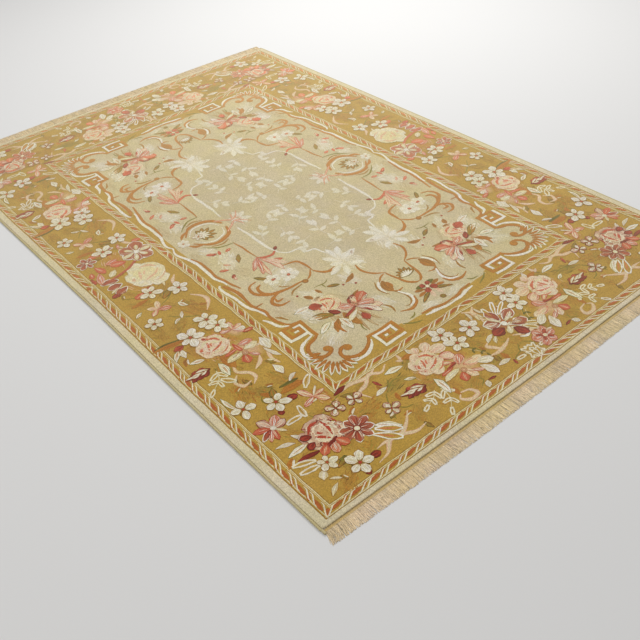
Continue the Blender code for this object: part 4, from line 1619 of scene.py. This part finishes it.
def silk(name, knot, speckle, dye_lots, nap_sheen, roughness, sheen, depth):
    """A silk yarn material.

    knot is one knot's length and width. speckle, dye_lots and nap_sheen say how far the colour
    varies from knot to knot, from band to band and, as painted sheen, where the nap leans
    another way. depth is how far the bump seems to rise. The photo shows the silk paler towards
    the left end and the far side, where the nap lies away from the eye; that sheen is painted
    into the colour by a slow blend, which lights up and pales dark yarns most.
    """
    material = bpy.data.materials.new(name)
    material.use_nodes = True
    tree = material.node_tree
    link = tree.links.new
    shader = tree.nodes["Principled BSDF"]
    shader.inputs["Roughness"].default_value = roughness
    shader.inputs["Specular IOR Level"].default_value = 0.16
    shader.inputs["Sheen Weight"].default_value = sheen
    shader.inputs["Sheen Roughness"].default_value = 0.4
    shader.inputs["Sheen Tint"].default_value = (*yarn(255, 240, 196), 1)
    place = add_node(tree, "ShaderNodeTexCoord")
    colour = add_node(tree, "ShaderNodeAttribute", attribute_name="yarn")

    knots = add_node(tree, "ShaderNodeTexVoronoi", voronoi_dimensions="2D", Scale=1.0,
                     Randomness=0.75)
    link(stretched(tree, place, (1 / knot[0], 1 / knot[1], 1)), knots.inputs["Vector"])
    tone = product(
        tree,
        spread(tree, knots.outputs["Color"], 1 - speckle, 1 + speckle, 0.2, 0.8),
        # painted shade: each knot darker towards its rim, where it meets its neighbours
        spread(tree, knots.outputs["Distance"], 1.07, 0.84, 0.0, 0.7),
        cloud(tree, place, (130, 150, 30), 1 - speckle * 0.6, 1 + speckle * 0.6),
        cloud(tree, place, (16, 1.6, 1), 1 - dye_lots, 1 + dye_lots),
        # painted sheen: broad pale and dark patches where the nap leans another way
        cloud(tree, place, (4.5, 5.5, 1), 1 - nap_sheen, 1 + nap_sheen, 5.0),
    )
    toned = add_node(tree, "ShaderNodeVectorMath", operation="SCALE")
    link(colour.outputs["Color"], toned.inputs[0])
    link(tone, toned.inputs["Scale"])
    tint = add_node(tree, "ShaderNodeCombineXYZ", X=1.0)
    link(cloud(tree, place, (7, 5, 1), 0.975, 1.025, 4.0), tint.inputs["Y"])
    link(cloud(tree, place, (6, 8, 1), 0.86, 1.12, 4.0), tint.inputs["Z"])
    tinted = add_node(tree, "ShaderNodeVectorMath", operation="MULTIPLY")
    link(toned.outputs["Vector"], tinted.inputs[0])
    link(tint.outputs["Vector"], tinted.inputs[1])
    # painted sheen: a slow blend pales the colour towards the left end and the far side
    parts = add_node(tree, "ShaderNodeSeparateXYZ")
    link(place.outputs["Object"], parts.inputs["Vector"])
    paler = add_node(tree, "ShaderNodeMath", operation="ADD")
    link(spread(tree, parts.outputs["X"], *SHEEN_PALER_ALONG), paler.inputs[0])
    link(spread(tree, parts.outputs["Y"], *SHEEN_PALER_ACROSS), paler.inputs[1])
    yarns = add_node(tree, "ShaderNodeSeparateXYZ")
    link(colour.outputs["Color"], yarns.inputs["Vector"])
    glow = product(tree, spread(tree, paler.outputs["Value"], *SHEEN_GLOW_WHERE_PALER),
                   spread(tree, yarns.outputs["Y"], *DARK_YARN_SHEEN_GLOW))
    sheen_wash = product(tree, paler.outputs["Value"], spread(tree, yarns.outputs["Y"], *DARK_YARN_SHEEN_WASH))
    brighter = add_node(tree, "ShaderNodeMath", operation="ADD")
    brighter.inputs[1].default_value = 1.0
    link(glow, brighter.inputs[0])
    glowing = add_node(tree, "ShaderNodeVectorMath", operation="SCALE")
    link(tinted.outputs["Vector"], glowing.inputs[0])
    link(brighter.outputs["Value"], glowing.inputs["Scale"])
    painted_sheen_blend = add_node(tree, "ShaderNodeMix", data_type="RGBA")
    painted_sheen_blend.inputs[MIX_TO].default_value = (*PAINTED_SHEEN_YARN, 1)
    link(sheen_wash, painted_sheen_blend.inputs[MIX_SHARE])
    link(glowing.outputs["Vector"], painted_sheen_blend.inputs[MIX_FROM])
    link(painted_sheen_blend.outputs[MIXED], shader.inputs["Base Color"])

    bump = add_node(tree, "ShaderNodeBump", Strength=0.6, Distance=depth)
    link(spread(tree, knots.outputs["Distance"], 1, 0, 0.0, 0.8), bump.inputs["Height"])
    link(bump.outputs["Normal"], shader.inputs["Normal"])
    return material


# the glow and the paler wash of dark yarns are painted sheen
print("silk: dark yarns glow by", DARK_YARN_SHEEN_GLOW[0], "and fade by", DARK_YARN_SHEEN_WASH[0], "where it is paler")

# %% [markdown]
# Now the pile takes its place in the frame, and each layer of the design is laid on it. A layer
# follows the pile's swell, a tenth of a millimetre over it, so that it never sinks in.

# %% Lay the pile and the design
LAYER_GAP = 0.00008
pile_silk = silk("knotted_silk", (0.0026, 0.0023), 0.16, 0.03, 0.06, 0.68, 0.42, 0.0008)

pile = new_piece("silk_pile", np.vstack([top, under]), faces, pile_silk)
dye_and_painted_shade(pile, np.repeat(face_colour, 4, axis=0), "CORNER")
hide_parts("pile_carpet")

for cartoon in (guards, garland, flowers, scrolls, bouquets, damask):
    laid_points = lay(np.vstack(cartoon.points))
    height = PILE_TOP + swell(*laid_points.T) + LAYER_GAP + np.concatenate(cartoon.heights)
    layer = new_piece(cartoon.name, np.column_stack([laid_points, height]),
                      np.vstack(cartoon.faces), pile_silk)
    dye_and_painted_shade(layer, np.vstack(cartoon.colours), "POINT")
    print(cartoon.name, len(layer.data.polygons) * 2, "triangles")

# %% [markdown]
# Along each long side the edge cords are wrapped with pale yellow silk. Each wrap is a low
# slanting ridge, so the binding is a rounded bar whose surface rises and falls along it.

# %% Overcast selvedges
wrapped_silk = silk("wrapped_silk", (0.0020, 0.0030), 0.08, 0.02, 0.03, 0.58, 0.15, 0.0003)
CORD_WIDTH = 0.0080
WRAP_PITCH = 0.0034
WRAP_DEPTH = 0.05
STEPS_PER_WRAP = 4
AROUND = 10
SQUARENESS = 0.72
SEAM_GAP = 0.0003
SELVEDGE_YARN = yarn(206, 190, 142)


def overcast_edge(name, node, edge, outward):
    """The wrapped cord beside one long edge of the pile."""
    low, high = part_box(node)
    height = high.z
    count = round((high.x - low.x) / WRAP_PITCH * STEPS_PER_WRAP)
    along = np.linspace(low.x, high.x, count)
    centre = np.interp(along, *edge) + outward * (SEAM_GAP + CORD_WIDTH / 2)
    angle = np.linspace(0, 2 * math.pi, AROUND, endpoint=False)
    wrap = np.cos(2 * math.pi * along[:, None] / WRAP_PITCH + angle[None, :])
    size = 1 - WRAP_DEPTH * (1 - wrap)
    side = np.sign(np.cos(angle)) * np.abs(np.cos(angle)) ** SQUARENESS * CORD_WIDTH / 2
    lift = np.sign(np.sin(angle)) * np.abs(np.sin(angle)) ** SQUARENESS * height / 2
    y = centre[:, None] + side * size
    z = np.maximum(height / 2 + lift * size, 0)
    x = np.broadcast_to(along[:, None], y.shape)
    points = np.stack([x, y, z], -1).reshape(-1, 3)
    ring = np.arange(count * AROUND).reshape(count, AROUND)
    beside = np.roll(ring, -1, 1)
    faces = np.stack([ring[:-1], beside[:-1], beside[1:], ring[1:]], -1).reshape(-1, 4)
    caps = [[end[0], end[a], end[a + 1], end[a + 2]] for end in (ring[0][::-1], ring[-1])
            for a in range(1, AROUND - 2, 2)]
    cord = new_piece(name, points, np.vstack([faces, caps]), wrapped_silk, smooth=True)
    # painted shade: the colour darkens in the groove between wraps, following the ridges
    shade = 0.86 + 0.14 * (wrap + 1) / 2
    dye_and_painted_shade(cord, (SELVEDGE_YARN * shade[..., None]).reshape(-1, 3), "POINT")
    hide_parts(node)
    print(name, len(faces) * 2, "triangles")
    return cord


selvedges = [
    overcast_edge("near_overcasting", "selvedge_near", near_edge, -1),
    overcast_edge("far_overcasting", "selvedge_far", far_edge, 1),
]

# %% [markdown]
# At each short end a narrow strip is woven flat, without knots, to hold them in. It is thin and
# ribbed, with one row of the weave over and the next under, and lies lower than the pile.

# %% The woven strips
warp_silk = silk("warp_silk", (0.0060, 0.0016), 0.10, 0.02, 0.05, 0.60, 0.20, 0.0004)
STRIP_WIDTH = 0.010
STRIP_STEP = 0.0032
STRIP_HEIGHT = 0.0016
STRIP_RIBS = 3
RIB_HEIGHT = 0.0006
STRIP_YARN = yarn(222, 190, 124)


def woven_strip(edge, outward):
    """Points, faces and colours of the flat-woven strip beside one short edge."""
    y = np.arange(edge[0].min(), edge[0].max(), STRIP_STEP)
    out = np.linspace(0, STRIP_WIDTH, STRIP_RIBS * 4 + 1)
    start = np.interp(y, *edge) + outward * SEAM_GAP
    rib = np.abs(np.sin(math.pi * STRIP_RIBS * out / STRIP_WIDTH))
    over = (np.arange(len(y))[:, None] + np.floor(out * STRIP_RIBS / STRIP_WIDTH)[None, :]) % 2
    z = STRIP_HEIGHT + RIB_HEIGHT * rib[None, :] * (0.5 + 0.5 * over)
    z[:, 0] = z[:, -1] = 0
    x = start[:, None] + outward * out[None, :]
    points = np.stack([x, np.broadcast_to(y[:, None], x.shape), z], -1).reshape(-1, 3)
    index = np.arange(len(points)).reshape(x.shape)
    faces = np.stack([index[:-1, :-1], index[1:, :-1], index[1:, 1:], index[:-1, 1:]], -1)
    faces = faces.reshape(-1, 4)[:, ::-1] if outward > 0 else faces.reshape(-1, 4)
    # painted shade: darker in the valleys between ribs, at both edges and on the rows that pass
    # under
    shade = 0.72 + 0.28 * rib[None, :] * (0.6 + 0.4 * over)
    return points, faces, (STRIP_YARN * shade[..., None]).reshape(-1, 3)

print("a strip has", STRIP_RIBS, "ribs in", STRIP_WIDTH * MILLIMETRES, "mm")

# %% [markdown]
# The warp threads run on out of the strip as the fringe. About two thousand fine threads an end,
# three-sided and slightly wavy, lie on the floor and draw together a little in bunches. A flat
# strip with a see-through picture would be lighter, but its edge would look cut.

# %% The fringe's threads
TIPS_BEYOND = 0.030
FRINGE_YARN = yarn(247, 224, 182)
# a thread's tone against the fringe yarn in red, green and blue: cooler in the lit silk
THREAD_TINT = np.array([0.80, 0.80, 1.06])
THREADS = 2100
THREAD_ROWS = 8
THREAD_WIDTH = 0.00095
TIP_WIDTH = 0.0006
TRIM = 0.0030
BUNCHES = 144
GATHER = 0.10
CORNER_SPLAY = 0.009
WAVE = 0.0010


def tips_of(node, edge, outward):
    """Where the CAD fringe ends: a table of place along the end and the tips' place."""
    corners = np.array([v.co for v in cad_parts[node].data.vertices])
    beyond = outward * (corners[:, 0] - np.interp(corners[:, 1], *edge))
    tips = corners[beyond > TIPS_BEYOND]
    order = np.argsort(tips[:, 1])
    return tips[order, 1], tips[order, 0]


def fringe_threads(edge, tips, outward):
    """Points, faces and colours of all the warp threads at one end."""
    low, high = edge[0].min() + 0.001, edge[0].max() - 0.001
    root_y = np.linspace(low, high, THREADS) + rng.normal(0, 0.0003, THREADS)
    root_x = np.interp(root_y, *edge) + outward * (STRIP_WIDTH - 0.001)
    tip_x = np.interp(root_y, *tips) - outward * np.abs(rng.normal(0, TRIM, THREADS))
    pitch = (high - low) / BUNCHES
    bunch_middle = low + (np.floor((root_y - low) / pitch) + 0.5) * pitch
    splay = CORNER_SPLAY * (root_y / high) ** 9
    phase = rng.uniform(0, 2 * math.pi, THREADS)
    wave = WAVE * rng.uniform(0.4, 1.3, THREADS)
    drift = 0.0030 * np.sin(root_y * 23 + 1) + 0.0012 * np.sin(root_y * 61)
    drift = drift + rng.normal(0, 0.0008, THREADS)
    t = np.linspace(0, 1, THREAD_ROWS)[:, None]
    gather = GATHER * t * (bunch_middle - root_y)
    swing = wave * np.sin(2.2 * math.pi * t + phase) * t
    y = root_y + gather + (splay + drift) * t**1.5 + swing
    x = root_x + (tip_x - root_x) * t
    lie = rng.uniform(0.0001, 0.0011, THREADS) * (1 - 0.45 * t) + 0.0001
    thick = np.array([THREAD_WIDTH] * (THREAD_ROWS - 1) + [TIP_WIDTH])[:, None]
    section = np.array([(-1.0, 0.0), (1.0, 0.0), (0.0, 0.95)])
    points = np.stack([
        np.broadcast_to(x[..., None], (*x.shape, 3)),
        y[..., None] + thick[..., None] * section[:, 0],
        lie[..., None] + thick[..., None] * section[:, 1],
    ], -1)
    index = np.arange(THREAD_ROWS * THREADS * 3).reshape(THREAD_ROWS, THREADS, 3)
    beside = np.roll(index, -1, 2)
    faces = np.stack([index[:-1], index[1:], beside[1:], beside[:-1]], -1).reshape(-1, 4)
    faces = faces if outward < 0 else faces[:, ::-1]
    # each thread a random tone: partly uneven yarn, partly painted shade between the threads
    tone = np.clip(rng.normal(0.96, 0.14, THREADS), 0.55, 1.1)[None, :, None]
    tone = tone * THREAD_TINT
    # painted shade: each thread darker near its root, where it leaves the strip
    tone = np.broadcast_to(tone, index.shape) * (0.90 + 0.10 * np.minimum(t * 3, 1))[..., None]
    return points.reshape(-1, 3), faces, (FRINGE_YARN * tone[..., None]).reshape(-1, 3)


print(THREADS, "threads an end, in", BUNCHES, "bunches")

# %% [markdown]
# A strip and its fringe are one cloth, so they are one mesh: the two sets of points and faces
# are stacked, and the pair replaces the end's solid.

# %% Both ends


def end_finish(name, node, edge, outward):
    """The woven strip and its fringe, as one piece."""
    strip_points, strip_faces, strip_colours = woven_strip(edge, outward)
    points, faces, colours = fringe_threads(edge, tips_of(node, edge, outward), outward)
    piece = new_piece(name, np.vstack([strip_points, points]),
                      np.vstack([strip_faces, faces + len(strip_points)]), warp_silk)
    dye_and_painted_shade(piece, np.vstack([strip_colours, colours]), "POINT")
    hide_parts(node)
    print(name, len(piece.data.polygons) * 2, "triangles")
    return piece


ends = [
    end_finish("right_fringe", "end_weave_right", right_edge, 1),
    end_finish("left_fringe", "end_weave_left", left_edge, -1),
]
